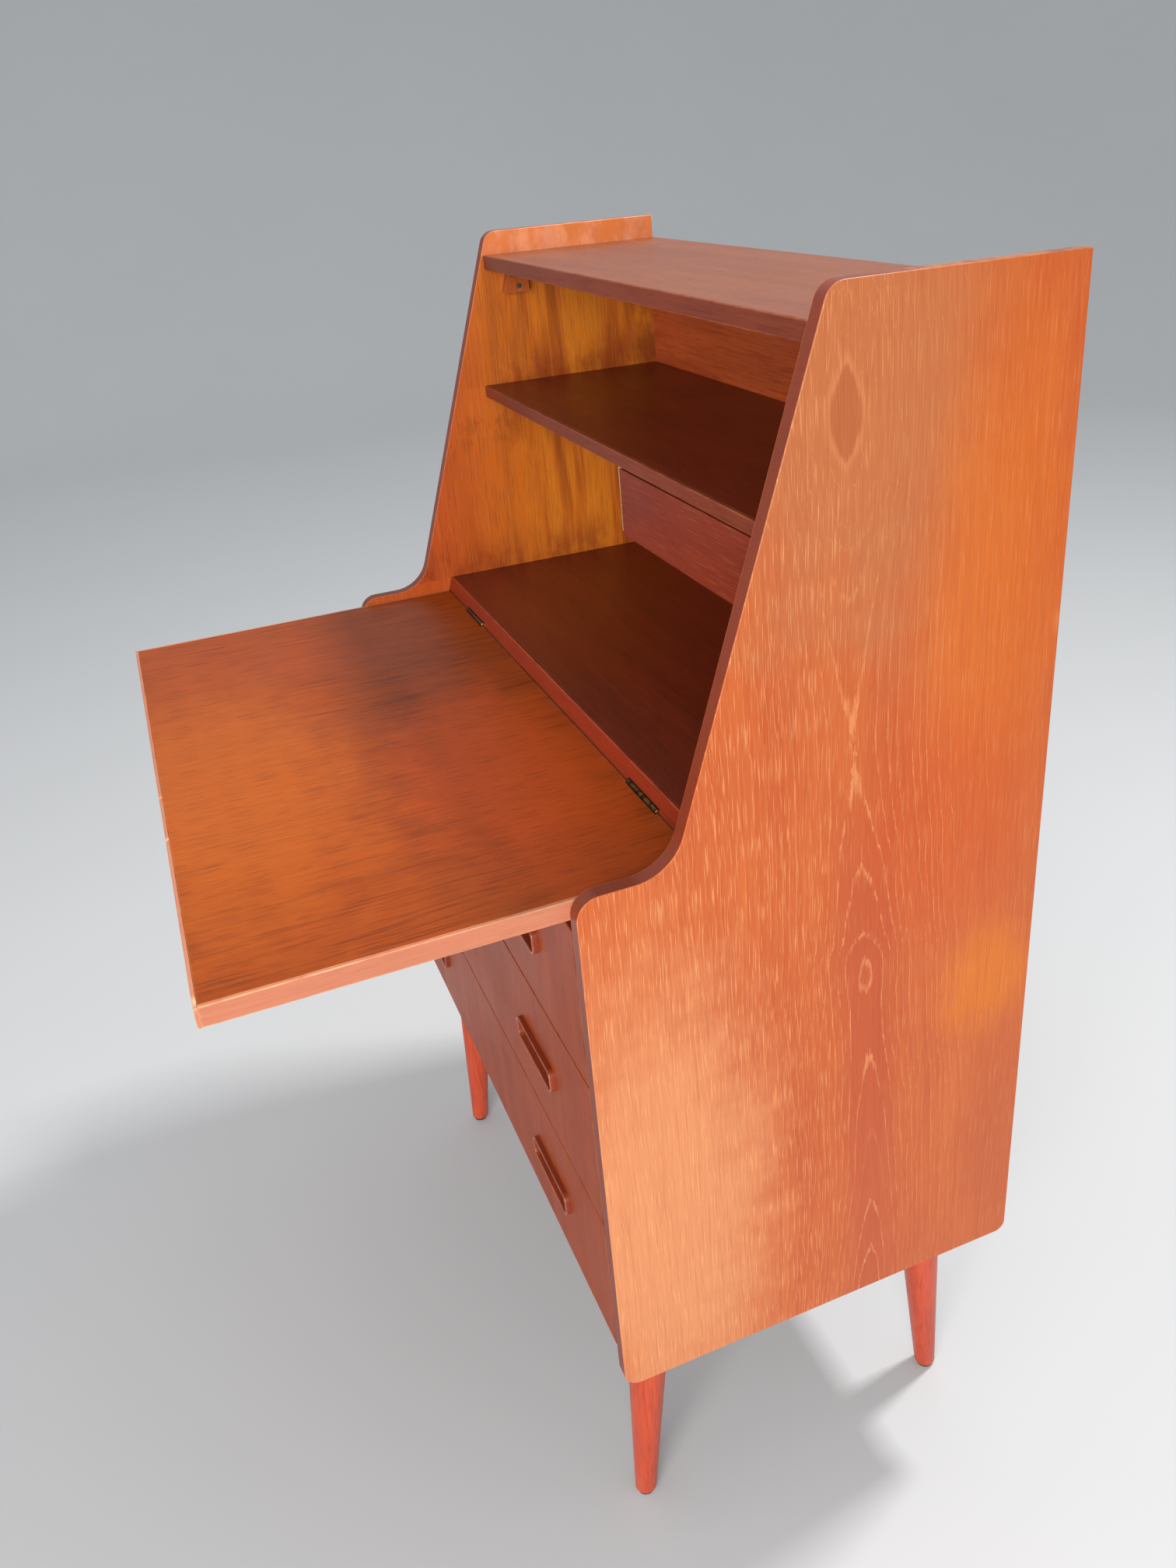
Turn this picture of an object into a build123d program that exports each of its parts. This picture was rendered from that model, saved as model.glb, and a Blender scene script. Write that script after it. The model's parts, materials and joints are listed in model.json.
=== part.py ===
"""Secretary desk with sculpted sides, a fall flap, a hung small drawer, three drawers and tapered legs.

Millimetres, +Z up, the front faces -Y and X runs to the right of a person who stands in front.
Every function works in carcass coordinates: the floor is Z = 0, X = 0 is the middle of the width and
Y = 0 is the front plane of the drawers. The parts are written with the origin under the middle of the
desk's plan, flap open, so that it lies at the bottom centre of the whole.
"""
from build123d import *
import math
import os

# Overall sizes
WIDTH = 718.0            # over the side panels
HEIGHT = 1120.0          # floor to the top of the side panels
DEPTH = 389.0            # drawer fronts to the rear edges of the side panels
SIDE_T = 14.0            # side panel thickness

# Heights
SIDE_BOTTOM_Z = 252.0    # lower edge of the side panels
WRITING_Z = 739.0        # top of the open flap
DECK_STEP = 14.5         # deck top above the writing surface
SHELF_TOP_Z = 963.0      # top of the middle shelf
TOP_RECESS = 23.0        # top board below the top of the side panels

# Board thicknesses
TOP_T = 14.0
SHELF_T = 12.0
DECK_T = 14.0
LEDGE_T = 14.0
BOTTOM_T = 14.0
BACK_T = 4.0
FLAP_T = 16.0
STRIP_T = 3.0            # solid edge strips

# Side panel outline
SLOPE_DEG = 18.2         # lean of the front edge from the vertical
SHOULDER_Y = 73.0        # where the slope meets the shoulder
SHOULDER_LIFT = 7.0      # shoulder above the writing surface
TOP_CORNER_R = 15.0
SWEEP_R = 40.0           # concave round between slope and shoulder
SHOULDER_R = 18.0
FOOT_FRONT_R = 15.0
FOOT_REAR_R = 10.0
ARRIS = 0.8              # eased edges of the boards
RABBET = 6.0             # back panel's bite into each side panel
BACK_RECESS = 0.5        # back panel below the rear edges of the sides

# Flap
FLAP_REVEAL = 13.0       # side panels stand proud of the closed flap
FLAP_SIDE_GAP = 1.0
FLAP_TOP_GAP = 2.5       # closed flap to the underside of the top board
FLAP_REST_GAP = 0.5      # open flap to the ledge board
SEAM = 1.0               # flap's rear edge to the hinge rail
BEHIND_FLAP = 1.0        # shelf to the closed flap
STOP_GAP = 0.3           # stop blocks to the closed flap
TOP_SETBACK = 2.0        # top board's front edge behind the slope

# Hinges
HINGE_L = 58.0
HINGE_IN = 111.0         # middle of each hinge from the inner face of the side panel
LEAF_T = 1.2
LEAF_H = 14.0
LEAF_GAP = 0.3           # between the folded leaves
KNUCKLE_R = 2.3
KNUCKLES = 5
KNUCKLE_GAP = 0.3
PIN_R = 1.1
PIN_CLEAR = 0.05
PIN_HEAD_R = 1.9
PIN_HEAD_T = 1.0
AXIS_LIFT = 1.2          # hinge axis above the writing surface
KNUCKLE_RELIEF = 0.5     # hollow in the wood round the knuckles
RAIL_T = 20.0            # hinge rail and rear spacer

# Stop blocks
BLOCK_Y = 20.0
BLOCK_Z = 25.0
BLOCK_X = 12.0

# Drawer case
CASE_SETBACK = 17.0      # ledge and bottom board behind the front plane
DRAWER_COUNT = 3
FIELD_DROP = 9.0         # top drawer front below the ledge board's top
FIELD_LIFT = 35.0        # bottom drawer front above the lower edge of the sides
FRONT_GAP = 2.5
FRONT_SIDE_GAP = 1.5
FRONT_T = 14.0
DRAWER_REAR_GAP = 32.5   # drawer to the back panel
BOX_SIDE_T = 12.0
BOX_BACK_T = 10.0
BOX_BOTTOM_T = 4.0
BOX_GAP = 2.0            # drawer side to side panel
BOX_LIFT = 14.0          # box above the lower edge of its front
BOX_DROP = 28.0          # box below the upper edge of its front
GROOVE_LIFT = 8.0        # drawer bottom above the lower edge of the box
GROOVE_DEEP = 5.0
FIT = 0.2                # loose fit of a board in its groove

# Runners
RUNNER_H = 10.0
RUNNER_CLEAR = 0.4
RUNNER_DEEP = 7.0        # groove in the drawer's side
RUNNER_LIFT = 50.0       # runner above the lower edge of the box
RUNNER_START = 4.0       # behind the back of the drawer front
RUNNER_END = 12.0        # in front of the back panel

# Recessed pulls
PULL_L = 90.0
PULL_H = 24.0
PULL_R = 8.0
PULL_WALL = 2.4
PULL_OUT = 5.0           # rim in front of the drawer
PULL_IN = 9.0            # cup inside the drawer front
PULL_FLOOR = 2.0
PULL_FROM_SIDE = 140.0   # middle of each pull from the inner face of the side panel
PULL_EDGE = 42.0         # flap's pull from the free edge

# Hung small drawer
SMALL_X = 47.0           # left end of its front
SMALL_H = 58.5
SMALL_FRONT_T = 12.0
SMALL_GAP = 1.5          # under the shelf
SMALL_REAR_GAP = 10.6    # small drawer to the back panel
SMALL_SIDE_T = 8.0
SMALL_BACK_T = 8.0
SMALL_BOTTOM_T = 3.0
SMALL_LIFT = 7.0
SMALL_DROP = 8.0
SMALL_GROOVE = 4.0
SMALL_RUNNER_H = 7.0
SMALL_RUNNER_LIFT = 20.0
SMALL_END_GAP = 0.5      # drawer front to the hanger board
HANGER_T = 6.0
GRIP_R = 4.0             # finger hollow behind the lower edge of the front

# Legs
LEG_X = 69.0             # leg top from the outer face of the side panel
LEG_Y = 51.0             # leg top from the front plane and from the rear
LEG_SPLAY = 20.5         # foot outward from the leg top, front to back
LEG_TOP_R = 22.0
LEG_FOOT_R = 10.5
LEG_EASE = 1.5
GLIDE_R = 8.5
GLIDE_T = 3.0
PLATE = 62.0
PLATE_T = 3.0
PLATE_R = 6.0
BOLT_R = 4.0
BOLT_IN_LEG = 32.0
BOLT_IN_BOARD = 10.0

# Dowels and screws
DOWEL_R = 3.0
DOWEL_IN_SIDE = 9.0
DOWEL_IN_BOARD = 20.0
SCREW_R = 1.5
SCREW_HEAD_R = 3.2
SCREW_L = 14.0
SLOT_W = 0.8
SLOT_DEEP = 0.9
SMALL_SCREW = 0.7        # hinge and back screws against the others
BORE_FIT = 0.05          # holes round dowels, screws and bolts

# Places that follow from the sizes above
SLOPE = math.radians(SLOPE_DEG)
HALF_IN = WIDTH / 2 - SIDE_T
SHOULDER_Z = WRITING_Z + SHOULDER_LIFT
TOP_Z = HEIGHT - TOP_RECESS
TOP_UNDER = TOP_Z - TOP_T
SHELF_UNDER = SHELF_TOP_Z - SHELF_T
DECK_TOP = WRITING_Z + DECK_STEP
DECK_UNDER = DECK_TOP - DECK_T
LEDGE_TOP = WRITING_Z - FLAP_T - FLAP_REST_GAP
LEDGE_UNDER = LEDGE_TOP - LEDGE_T
FIELD_TOP = LEDGE_TOP - FIELD_DROP
FIELD_BOTTOM = SIDE_BOTTOM_Z + FIELD_LIFT
BOTTOM_TOP = FIELD_BOTTOM - 1.0
BOTTOM_UNDER = BOTTOM_TOP - BOTTOM_T
BACK_FACE = DEPTH - BACK_RECESS - BACK_T
INNER_SET = (FLAP_REVEAL + FLAP_T) / math.cos(SLOPE)
AXIS_Z = WRITING_Z + AXIS_LIFT
HINGE_X = HALF_IN - HINGE_IN
PULL_X = HALF_IN - PULL_FROM_SIDE
DRAWER_REAR = BACK_FACE - DRAWER_REAR_GAP


def slope_y(z):
    """Front edge of the side panels at height z."""
    return SHOULDER_Y + (z - SHOULDER_Z) * math.tan(SLOPE)


def inner_y(z):
    """Inner face of the closed flap at height z."""
    return slope_y(z) + INNER_SET


AXIS_Y = inner_y(AXIS_Z) + AXIS_LIFT / math.cos(SLOPE)
RAIL_FACE = AXIS_Y + SEAM / 2
FLAP_REAR = AXIS_Y - SEAM / 2
FLAP_LENGTH = (
    TOP_UNDER - FLAP_TOP_GAP - AXIS_Z - (AXIS_LIFT + FLAP_T) * math.sin(SLOPE)
) / math.cos(SLOPE) - SEAM / 2
FLAP_FRONT = FLAP_REAR - FLAP_LENGTH
FLAP_HALF = HALF_IN - FLAP_SIDE_GAP
FLAP_UNDER = WRITING_Z - FLAP_T
SHELF_FRONT = inner_y(SHELF_TOP_Z) + BEHIND_FLAP
TOP_FRONT = slope_y(TOP_Z) + TOP_SETBACK
FRONT_PITCH = (FIELD_TOP - FIELD_BOTTOM) / DRAWER_COUNT
FRONT_H = FRONT_PITCH - FRONT_GAP
FRONT_HALF = HALF_IN - FRONT_SIDE_GAP
LEG_TOP_Z = BOTTOM_UNDER - PLATE_T
LEG_TOP_X = WIDTH / 2 - LEG_X
SMALL_TOP = SHELF_UNDER - SMALL_GAP
SMALL_UNDER = SMALL_TOP - SMALL_H
SMALL_RIGHT = HALF_IN - FRONT_SIDE_GAP
HANGER_FACE = SMALL_X - SMALL_END_GAP
ORIGIN_Y = (FLAP_FRONT + DEPTH) / 2
WHOLE = (Align.MIN, Align.MIN, Align.MIN)

parts = {}


def add(node, shape):
    """Keep a finished piece, or a group of like pieces, under its node name."""
    parts[node] = shape


def block(x, y, z):
    """Box between two values of each coordinate."""
    size = (x[1] - x[0], y[1] - y[0], z[1] - z[0])
    return Pos(x[0], y[0], z[0]) * Box(*size, align=WHOLE)


def eased(shape, radius=ARRIS):
    """Board with its long arrises rounded over."""
    box = shape.bounding_box().size
    limit = min(box.X, box.Y, box.Z)
    edges = [e for e in shape.edges() if e.length > limit + radius]
    return fillet(edges, radius)


def profile_x(points, x, radii=0):
    """Prism along X from an outline of (y, z) points."""
    with BuildSketch(Plane.YZ) as outline:
        with BuildLine():
            FilletPolyline(*points, radius=radii, close=True)
        make_face()
    return Pos(x[0], 0, 0) * extrude(outline.sketch, x[1] - x[0])


def joined(shapes):
    """One compound of separate solids."""
    return Compound(children=[s.solid() if hasattr(s, "solid") else s for s in shapes])


def without(shape, tools):
    """Shape with every tool cut away."""
    for tool in tools:
        shape = shape - tool
    return shape


def screw_solid(scale, length, fit=0.0):
    """Countersunk wood screw, or its hole with a fit, head flush at Z = 0 and point towards -Z."""
    head, shank = SCREW_HEAD_R * scale + fit, SCREW_R * scale + fit
    cone = head - shank
    tip = -length - 2 * fit
    points = [(0, 0), (head, 0), (shank, -cone), (shank, tip + shank), (0, tip)]
    with BuildSketch(Plane.XZ) as half:
        with BuildLine():
            Polyline(*points, close=True)
        make_face()
    return revolve(half.sketch, Axis.Z)


def screw(scale, length):
    """Screw with its driving slot."""
    slot = Box(3 * SCREW_HEAD_R * scale, SLOT_W * scale, 2 * SLOT_DEEP * scale)
    return screw_solid(scale, length) - slot


def facing(direction):
    """Rotation that turns a screw's head from +Z to the given direction."""
    turns = {"+Z": Rot(0, 0, 0), "-Z": Rot(180, 0, 0), "+Y": Rot(-90, 0, 0), "-Y": Rot(90, 0, 0),
             "+X": Rot(0, 90, 0), "-X": Rot(0, -90, 0)}
    return turns[direction]


def screws(places, direction, scale=1.0, length=SCREW_L):
    """Slotted screws at places, and the tools that bore their holes."""
    turn = facing(direction)
    made = [Pos(*p) * turn * screw(scale, length) for p in places]
    tools = [Pos(*p) * turn * screw_solid(scale, length, BORE_FIT) for p in places]
    return made, tools


def cup(length, height, outward, inward):
    """Recessed pull: rounded rim towards +Z, hollow inside, closed at the bottom."""
    outer = extrude(RectangleRounded(length, height, PULL_R), outward + inward)
    outer = Pos(0, 0, -inward) * outer
    rim = outer.edges().group_by(Axis.Z)[-1]
    outer = fillet(rim, PULL_WALL / 3)
    inner_r = PULL_R - PULL_WALL
    hollow = RectangleRounded(length - 2 * PULL_WALL, height - 2 * PULL_WALL, inner_r)
    hollow = extrude(hollow, outward + inward - PULL_FLOOR)
    return outer - Pos(0, 0, -inward + PULL_FLOOR) * hollow


def pocket(length, height, inward):
    """Mortise that takes a recessed pull."""
    tool = extrude(RectangleRounded(length, height, PULL_R), inward + 1.0)
    return Pos(0, 0, -inward) * tool


def mirror_x(shape):
    """The same piece on the other side of the desk."""
    return mirror(shape, Plane.YZ)


# ---------------------------------------------------------------- carcass

def dowels(fit=0.0):
    """Dowels between the boards and the side panels, or their holes with a fit."""
    rows = [
        ((TOP_Z + TOP_UNDER) / 2, TOP_FRONT, DEPTH),
        ((SHELF_TOP_Z + SHELF_UNDER) / 2, SHELF_FRONT, BACK_FACE),
        ((DECK_TOP + DECK_UNDER) / 2, RAIL_FACE, BACK_FACE),
        ((LEDGE_TOP + LEDGE_UNDER) / 2, CASE_SETBACK, BACK_FACE),
        ((BOTTOM_TOP + BOTTOM_UNDER) / 2, CASE_SETBACK, BACK_FACE),
    ]
    length = DOWEL_IN_SIDE + DOWEL_IN_BOARD
    middle = HALF_IN + (DOWEL_IN_SIDE - DOWEL_IN_BOARD) / 2
    pegs = []
    for z, front, rear in rows:
        for share in (0.2, 0.5, 0.8):
            y = front + (rear - front) * share
            pegs.append(Pos(middle, y, z) * Rot(0, 90, 0) * Cylinder(DOWEL_R + fit, length + 2 * fit))
    return pegs + [mirror_x(p) for p in pegs]


def side_panel():
    """Right side panel with its sculpted front edge, and a rabbet for the back panel."""
    points = [
        (DEPTH, HEIGHT),
        (slope_y(HEIGHT), HEIGHT),
        (SHOULDER_Y, SHOULDER_Z),
        (0, SHOULDER_Z),
        (0, SIDE_BOTTOM_Z),
        (DEPTH, SIDE_BOTTOM_Z),
    ]
    radii = [0, TOP_CORNER_R, SWEEP_R, SHOULDER_R, FOOT_FRONT_R, FOOT_REAR_R]
    panel = profile_x(points, (HALF_IN, WIDTH / 2), radii)
    rims = panel.faces().sort_by(Axis.X)
    panel = fillet(rims[0].edges() + rims[-1].edges(), ARRIS)
    rabbet = block((HALF_IN - 1, HALF_IN + RABBET), (BACK_FACE, DEPTH + 1), (BOTTOM_UNDER, TOP_UNDER))
    return panel - rabbet


def board_across(z, front, rear):
    """Square-edged board that spans the inside width."""
    return block((-HALF_IN, HALF_IN), (front, rear), z)


def strip_across(z, front):
    """Solid strip on the front edge of a board, with its front arrises eased."""
    strip = board_across(z, front, front + STRIP_T)
    edges = strip.edges().filter_by(Axis.X).sort_by(Axis.Y)[:2]
    return fillet(edges, ARRIS)


def deck_nose():
    """Bevelled strip on the deck's front edge, parallel to the closed flap."""
    top_y = RAIL_FACE + DECK_T * math.tan(SLOPE)
    rear = RAIL_FACE + DECK_T * math.tan(SLOPE) + STRIP_T
    points = [(RAIL_FACE, DECK_UNDER), (top_y, DECK_TOP), (rear, DECK_TOP), (rear, DECK_UNDER)]
    return profile_x(points, (-HALF_IN, HALF_IN))


def stop_block():
    """Block under the top board that the closed flap comes to rest on."""
    top, bottom = TOP_UNDER, TOP_UNDER - BLOCK_Z
    gap = STOP_GAP / math.cos(SLOPE)
    front_top, front_bottom = inner_y(top) + gap, inner_y(bottom) + gap
    points = [(front_bottom, bottom), (front_top, top), (front_top + BLOCK_Y, top), (front_top + BLOCK_Y, bottom)]
    return profile_x(points, (HALF_IN - BLOCK_X, HALF_IN))


def stop_block_screw_places():
    """Two screws set on a diagonal through the stop block."""
    middle_y = inner_y(TOP_UNDER - BLOCK_Z / 2) + STOP_GAP + BLOCK_Y / 2
    middle_z = TOP_UNDER - BLOCK_Z / 2
    step_y, step_z = BLOCK_Y / 6, BLOCK_Z / 4
    return [(HALF_IN - BLOCK_X, middle_y - step_y, middle_z + step_z),
            (HALF_IN - BLOCK_X, middle_y + step_y, middle_z - step_z)]


def back_screw_places():
    """Rows of screws through the back panel into the rear edges of the boards."""
    heights = [(SHELF_TOP_Z + SHELF_UNDER) / 2, (DECK_TOP + DECK_UNDER) / 2,
               (LEDGE_TOP + LEDGE_UNDER) / 2, (BOTTOM_TOP + BOTTOM_UNDER) / 2]
    across = [HALF_IN * share for share in (-0.85, -0.3, 0.3, 0.85)]
    return [(x, DEPTH - BACK_RECESS, z) for z in heights for x in across]


def runner_z(index):
    """Middle height of the runners of one drawer, counted from the top."""
    return front_z(index)[0] + BOX_LIFT + RUNNER_LIFT


def front_z(index):
    """Lower and upper edge of a drawer front, counted from the top."""
    top = FIELD_TOP - index * FRONT_PITCH
    return top - FRONT_H, top


def runner(index):
    """Right-hand runner strip of one drawer."""
    z = runner_z(index)
    inner = HALF_IN - BOX_GAP - RUNNER_DEEP + RUNNER_CLEAR
    y = (FRONT_T + RUNNER_START, BACK_FACE - RUNNER_END)
    return block((inner, HALF_IN), y, (z - RUNNER_H / 2, z + RUNNER_H / 2))


def runner_screw_places(index):
    """Two screws through a runner into the side panel."""
    inner = HALF_IN - BOX_GAP - RUNNER_DEEP + RUNNER_CLEAR
    return [(inner, DEPTH * share, runner_z(index)) for share in (0.15, 0.8)]


def leg(rear, side):
    """Round tapered leg, raked front to back, and level at both ends."""
    x = side * LEG_TOP_X
    y_top = DEPTH - LEG_Y if rear else LEG_Y
    y_foot = y_top + (LEG_SPLAY if rear else -LEG_SPLAY)
    foot = Pos(x, y_foot, GLIDE_T) * Circle(LEG_FOOT_R)
    top = Pos(x, y_top, LEG_TOP_Z) * Circle(LEG_TOP_R)
    shape = loft([foot, top], ruled=True)
    edge = shape.edges().filter_by(GeomType.CIRCLE).sort_by(Axis.Z)[0]
    return fillet(edge, LEG_EASE)


def leg_places():
    """Name, top centre and foot centre of each leg."""
    places = []
    for name, rear, side in (("front_left", False, -1), ("front_right", False, 1),
                             ("rear_left", True, -1), ("rear_right", True, 1)):
        y_top = DEPTH - LEG_Y if rear else LEG_Y
        y_foot = y_top + (LEG_SPLAY if rear else -LEG_SPLAY)
        places.append((name, rear, side, (side * LEG_TOP_X, y_top), (side * LEG_TOP_X, y_foot)))
    return places


def carcass():
    """Everything that stays still."""
    pegs = dowels(BORE_FIT)
    block_right = stop_block()
    block_screws, block_tools = screws(stop_block_screw_places(), "-X")
    runners, runner_screws, runner_tools = [], [], []
    for index in range(DRAWER_COUNT):
        made, tools = screws(runner_screw_places(index), "-X")
        runners.append(without(runner(index), tools))
        runner_screws.extend(made)
        runner_tools.extend(tools)
    panel = without(side_panel(), pegs + block_tools + runner_tools)
    add("side_panel_right", panel)
    add("side_panel_left", mirror_x(panel))
    blocks = without(block_right, block_tools)
    add("stop_blocks", joined([blocks, mirror_x(blocks)]))
    add("stop_block_screws", joined(block_screws + [mirror_x(s) for s in block_screws]))
    add("drawer_runners", joined(runners + [mirror_x(r) for r in runners]))
    add("drawer_runner_screws", joined(runner_screws + [mirror_x(s) for s in runner_screws]))
    add("carcass_dowels", joined(dowels()))

    back_made, back_tools = screws(back_screw_places(), "+Y", SMALL_SCREW)
    bolt_tools = [bolt(top, BORE_FIT) for _, _, _, top, _ in leg_places()]
    plate_made, plate_tools = screws(plate_screw_places(), "-Z", length=PLATE_T + BOTTOM_T - 4)
    top = board_across((TOP_UNDER, TOP_Z), TOP_FRONT + STRIP_T, DEPTH)
    add("top_board", without(top, pegs))
    add("top_edge_strip", strip_across((TOP_UNDER, TOP_Z), TOP_FRONT))
    shelf = board_across((SHELF_UNDER, SHELF_TOP_Z), SHELF_FRONT + STRIP_T, BACK_FACE)
    add("middle_shelf", without(shelf, pegs + back_tools))
    add("shelf_edge_strip", strip_across((SHELF_UNDER, SHELF_TOP_Z), SHELF_FRONT))
    nose = deck_nose()
    nose_rear = nose.bounding_box().max.Y
    reliefs = knuckle_reliefs()
    deck = board_across((DECK_UNDER, DECK_TOP), nose_rear, BACK_FACE)
    add("deck_board", without(deck, pegs + back_tools))
    add("deck_nose_strip", without(nose, reliefs + pegs))
    ledge = board_across((LEDGE_UNDER, LEDGE_TOP), CASE_SETBACK, BACK_FACE)
    add("ledge_board", without(ledge, pegs + back_tools))
    bottom = board_across((BOTTOM_UNDER, BOTTOM_TOP), CASE_SETBACK, BACK_FACE)
    add("bottom_board", without(bottom, pegs + back_tools + bolt_tools + plate_tools))
    leaf_made, leaf_tools = hinge_screws("+Y")
    rail = board_across((LEDGE_TOP, DECK_UNDER), RAIL_FACE, RAIL_FACE + RAIL_T)
    add("hinge_rail", without(rail, reliefs + leaf_beds("fixed") + leaf_tools))
    add("deck_rear_spacer", board_across((LEDGE_TOP, DECK_UNDER), BACK_FACE - RAIL_T, BACK_FACE))
    back = block((-HALF_IN - RABBET, HALF_IN + RABBET), (BACK_FACE, BACK_FACE + BACK_T), (BOTTOM_UNDER, TOP_UNDER))
    add("back_panel", without(back, back_tools))
    add("back_panel_screws", joined(back_made))
    add("hinge_leaf_screws_fixed", joined(leaf_made))
    add("small_drawer_runners", joined([small_runner_right(), small_runner_left()]))
    add("small_drawer_hanger", small_hanger())
    legs(bolt_tools, plate_made, plate_tools)


def bolt(top, fit=0.0):
    """Hanger bolt between a leg and the bottom board, or its hole with a fit."""
    low, high = LEG_TOP_Z - BOLT_IN_LEG - fit, BOTTOM_UNDER + BOLT_IN_BOARD + fit
    return Pos(top[0], top[1], (low + high) / 2) * Cylinder(BOLT_R + fit, high - low)


def plate_screw_places():
    """Four screws in the corners of each leg plate."""
    reach = PLATE / 2 - PLATE_R - 1
    corners = [(reach, reach), (reach, -reach), (-reach, reach), (-reach, -reach)]
    return [(top[0] + dx, top[1] + dy, LEG_TOP_Z) for _, _, _, top, _ in leg_places() for dx, dy in corners]


def legs(bolt_tools, plate_made, plate_tools):
    """Legs, plates, bolts and glides."""
    plates, glides = [], []
    for (name, rear, side, top, foot), tool in zip(leg_places(), bolt_tools):
        add("leg_" + name, leg(rear, side) - tool)
        plate = Pos(top[0], top[1], LEG_TOP_Z) * extrude(RectangleRounded(PLATE, PLATE, PLATE_R), PLATE_T)
        plates.append(without(plate, plate_tools + [tool]))
        glides.append(Pos(foot[0], foot[1], GLIDE_T / 2) * Cylinder(GLIDE_R, GLIDE_T))
    add("leg_plates", joined(plates))
    add("leg_plate_screws", joined(plate_made))
    add("leg_bolts", joined([bolt(top) for _, _, _, top, _ in leg_places()]))
    add("leg_glides", joined(glides))


# ---------------------------------------------------------------- hinges

def knuckle_spans():
    """Start and end along X of each knuckle of one hinge, about its middle."""
    pitch = HINGE_L / KNUCKLES
    return [(-HINGE_L / 2 + i * pitch + KNUCKLE_GAP / 2, -HINGE_L / 2 + (i + 1) * pitch - KNUCKLE_GAP / 2)
            for i in range(KNUCKLES)]


def rod_x(radius, x):
    """Cylinder along X about the hinge axis."""
    middle = (x[0] + x[1]) / 2
    return Pos(middle, AXIS_Y, AXIS_Z) * Rot(0, 90, 0) * Cylinder(radius, x[1] - x[0])


def leaf_plate_y(kind):
    """Front and rear face of a leaf's plate in the folded hinge."""
    near, far = LEAF_GAP / 2, LEAF_GAP / 2 + LEAF_T
    return (AXIS_Y + near, AXIS_Y + far) if kind == "fixed" else (AXIS_Y - far, AXIS_Y - near)


def hinge_leaf(kind, middle):
    """Plate with its own knuckles; the fixed leaf has the odd ones."""
    plate = block((-HINGE_L / 2, HINGE_L / 2), leaf_plate_y(kind), (AXIS_Z - LEAF_H, AXIS_Z))
    wanted = 0 if kind == "fixed" else 1
    shape = plate
    for i, span in enumerate(knuckle_spans()):
        if i % 2 == wanted:
            shape = shape + rod_x(KNUCKLE_R, span)
        else:
            wide = (span[0] - KNUCKLE_GAP, span[1] + KNUCKLE_GAP)
            shape = shape - rod_x(KNUCKLE_R + KNUCKLE_GAP, wide)
    bore = rod_x(PIN_R + PIN_CLEAR, (-HINGE_L, HINGE_L))
    return Pos(middle, 0, 0) * (shape - bore)


def leaf_beds(kind):
    """Shallow beds that let the leaf plates into the wood."""
    y = leaf_plate_y(kind)
    beds = []
    for side in (-1, 1):
        x = (side * HINGE_X - HINGE_L / 2, side * HINGE_X + HINGE_L / 2)
        beds.append(block(x, y, (AXIS_Z - LEAF_H, AXIS_Z)))
    return beds


def knuckle_reliefs():
    """Hollows round the knuckles and the pin heads."""
    reach = HINGE_L / 2 + PIN_HEAD_T + KNUCKLE_GAP
    radius = KNUCKLE_R + KNUCKLE_RELIEF
    return [Pos(side * HINGE_X, 0, 0) * rod_x(radius, (-reach, reach)) for side in (-1, 1)]


def hinge_screws(direction):
    """Three screws in each leaf, with heads flush on the leaf's inner face."""
    kind = "fixed" if direction == "+Y" else "flap"
    y = leaf_plate_y(kind)
    face = y[0] if kind == "fixed" else y[1]
    turn = "-Y" if kind == "fixed" else "+Y"
    z = AXIS_Z - LEAF_H + SCREW_HEAD_R + 0.8
    xs = [side * HINGE_X + step * HINGE_L / 3 for side in (-1, 1) for step in (-1, 0, 1)]
    return screws([(x, face, z) for x in xs], turn, SMALL_SCREW)


def hinge_pin(middle):
    """Pin with a domed head at each end."""
    pin = rod_x(PIN_R, (-HINGE_L / 2, HINGE_L / 2))
    for side in (-1, 1):
        ends = sorted((side * HINGE_L / 2, side * (HINGE_L / 2 + PIN_HEAD_T)))
        head = rod_x(PIN_HEAD_R, ends)
        rim = head.edges().sort_by(Axis.X)[-1 if side > 0 else 0]
        pin = pin + fillet(rim, PIN_HEAD_T * 0.7)
    return Pos(middle, 0, 0) * pin


def hinges():
    """Both butt hinges."""
    fixed_tools = hinge_screws("+Y")[1]
    flap_tools = hinge_screws("-Y")[1]
    for kind, tools in (("fixed", fixed_tools), ("flap", flap_tools)):
        leaves = [without(hinge_leaf(kind, side * HINGE_X), tools) for side in (-1, 1)]
        add("hinge_leaves_" + kind, joined(leaves))
    add("hinge_pins", joined([hinge_pin(side * HINGE_X) for side in (-1, 1)]))


# ---------------------------------------------------------------- flap

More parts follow.
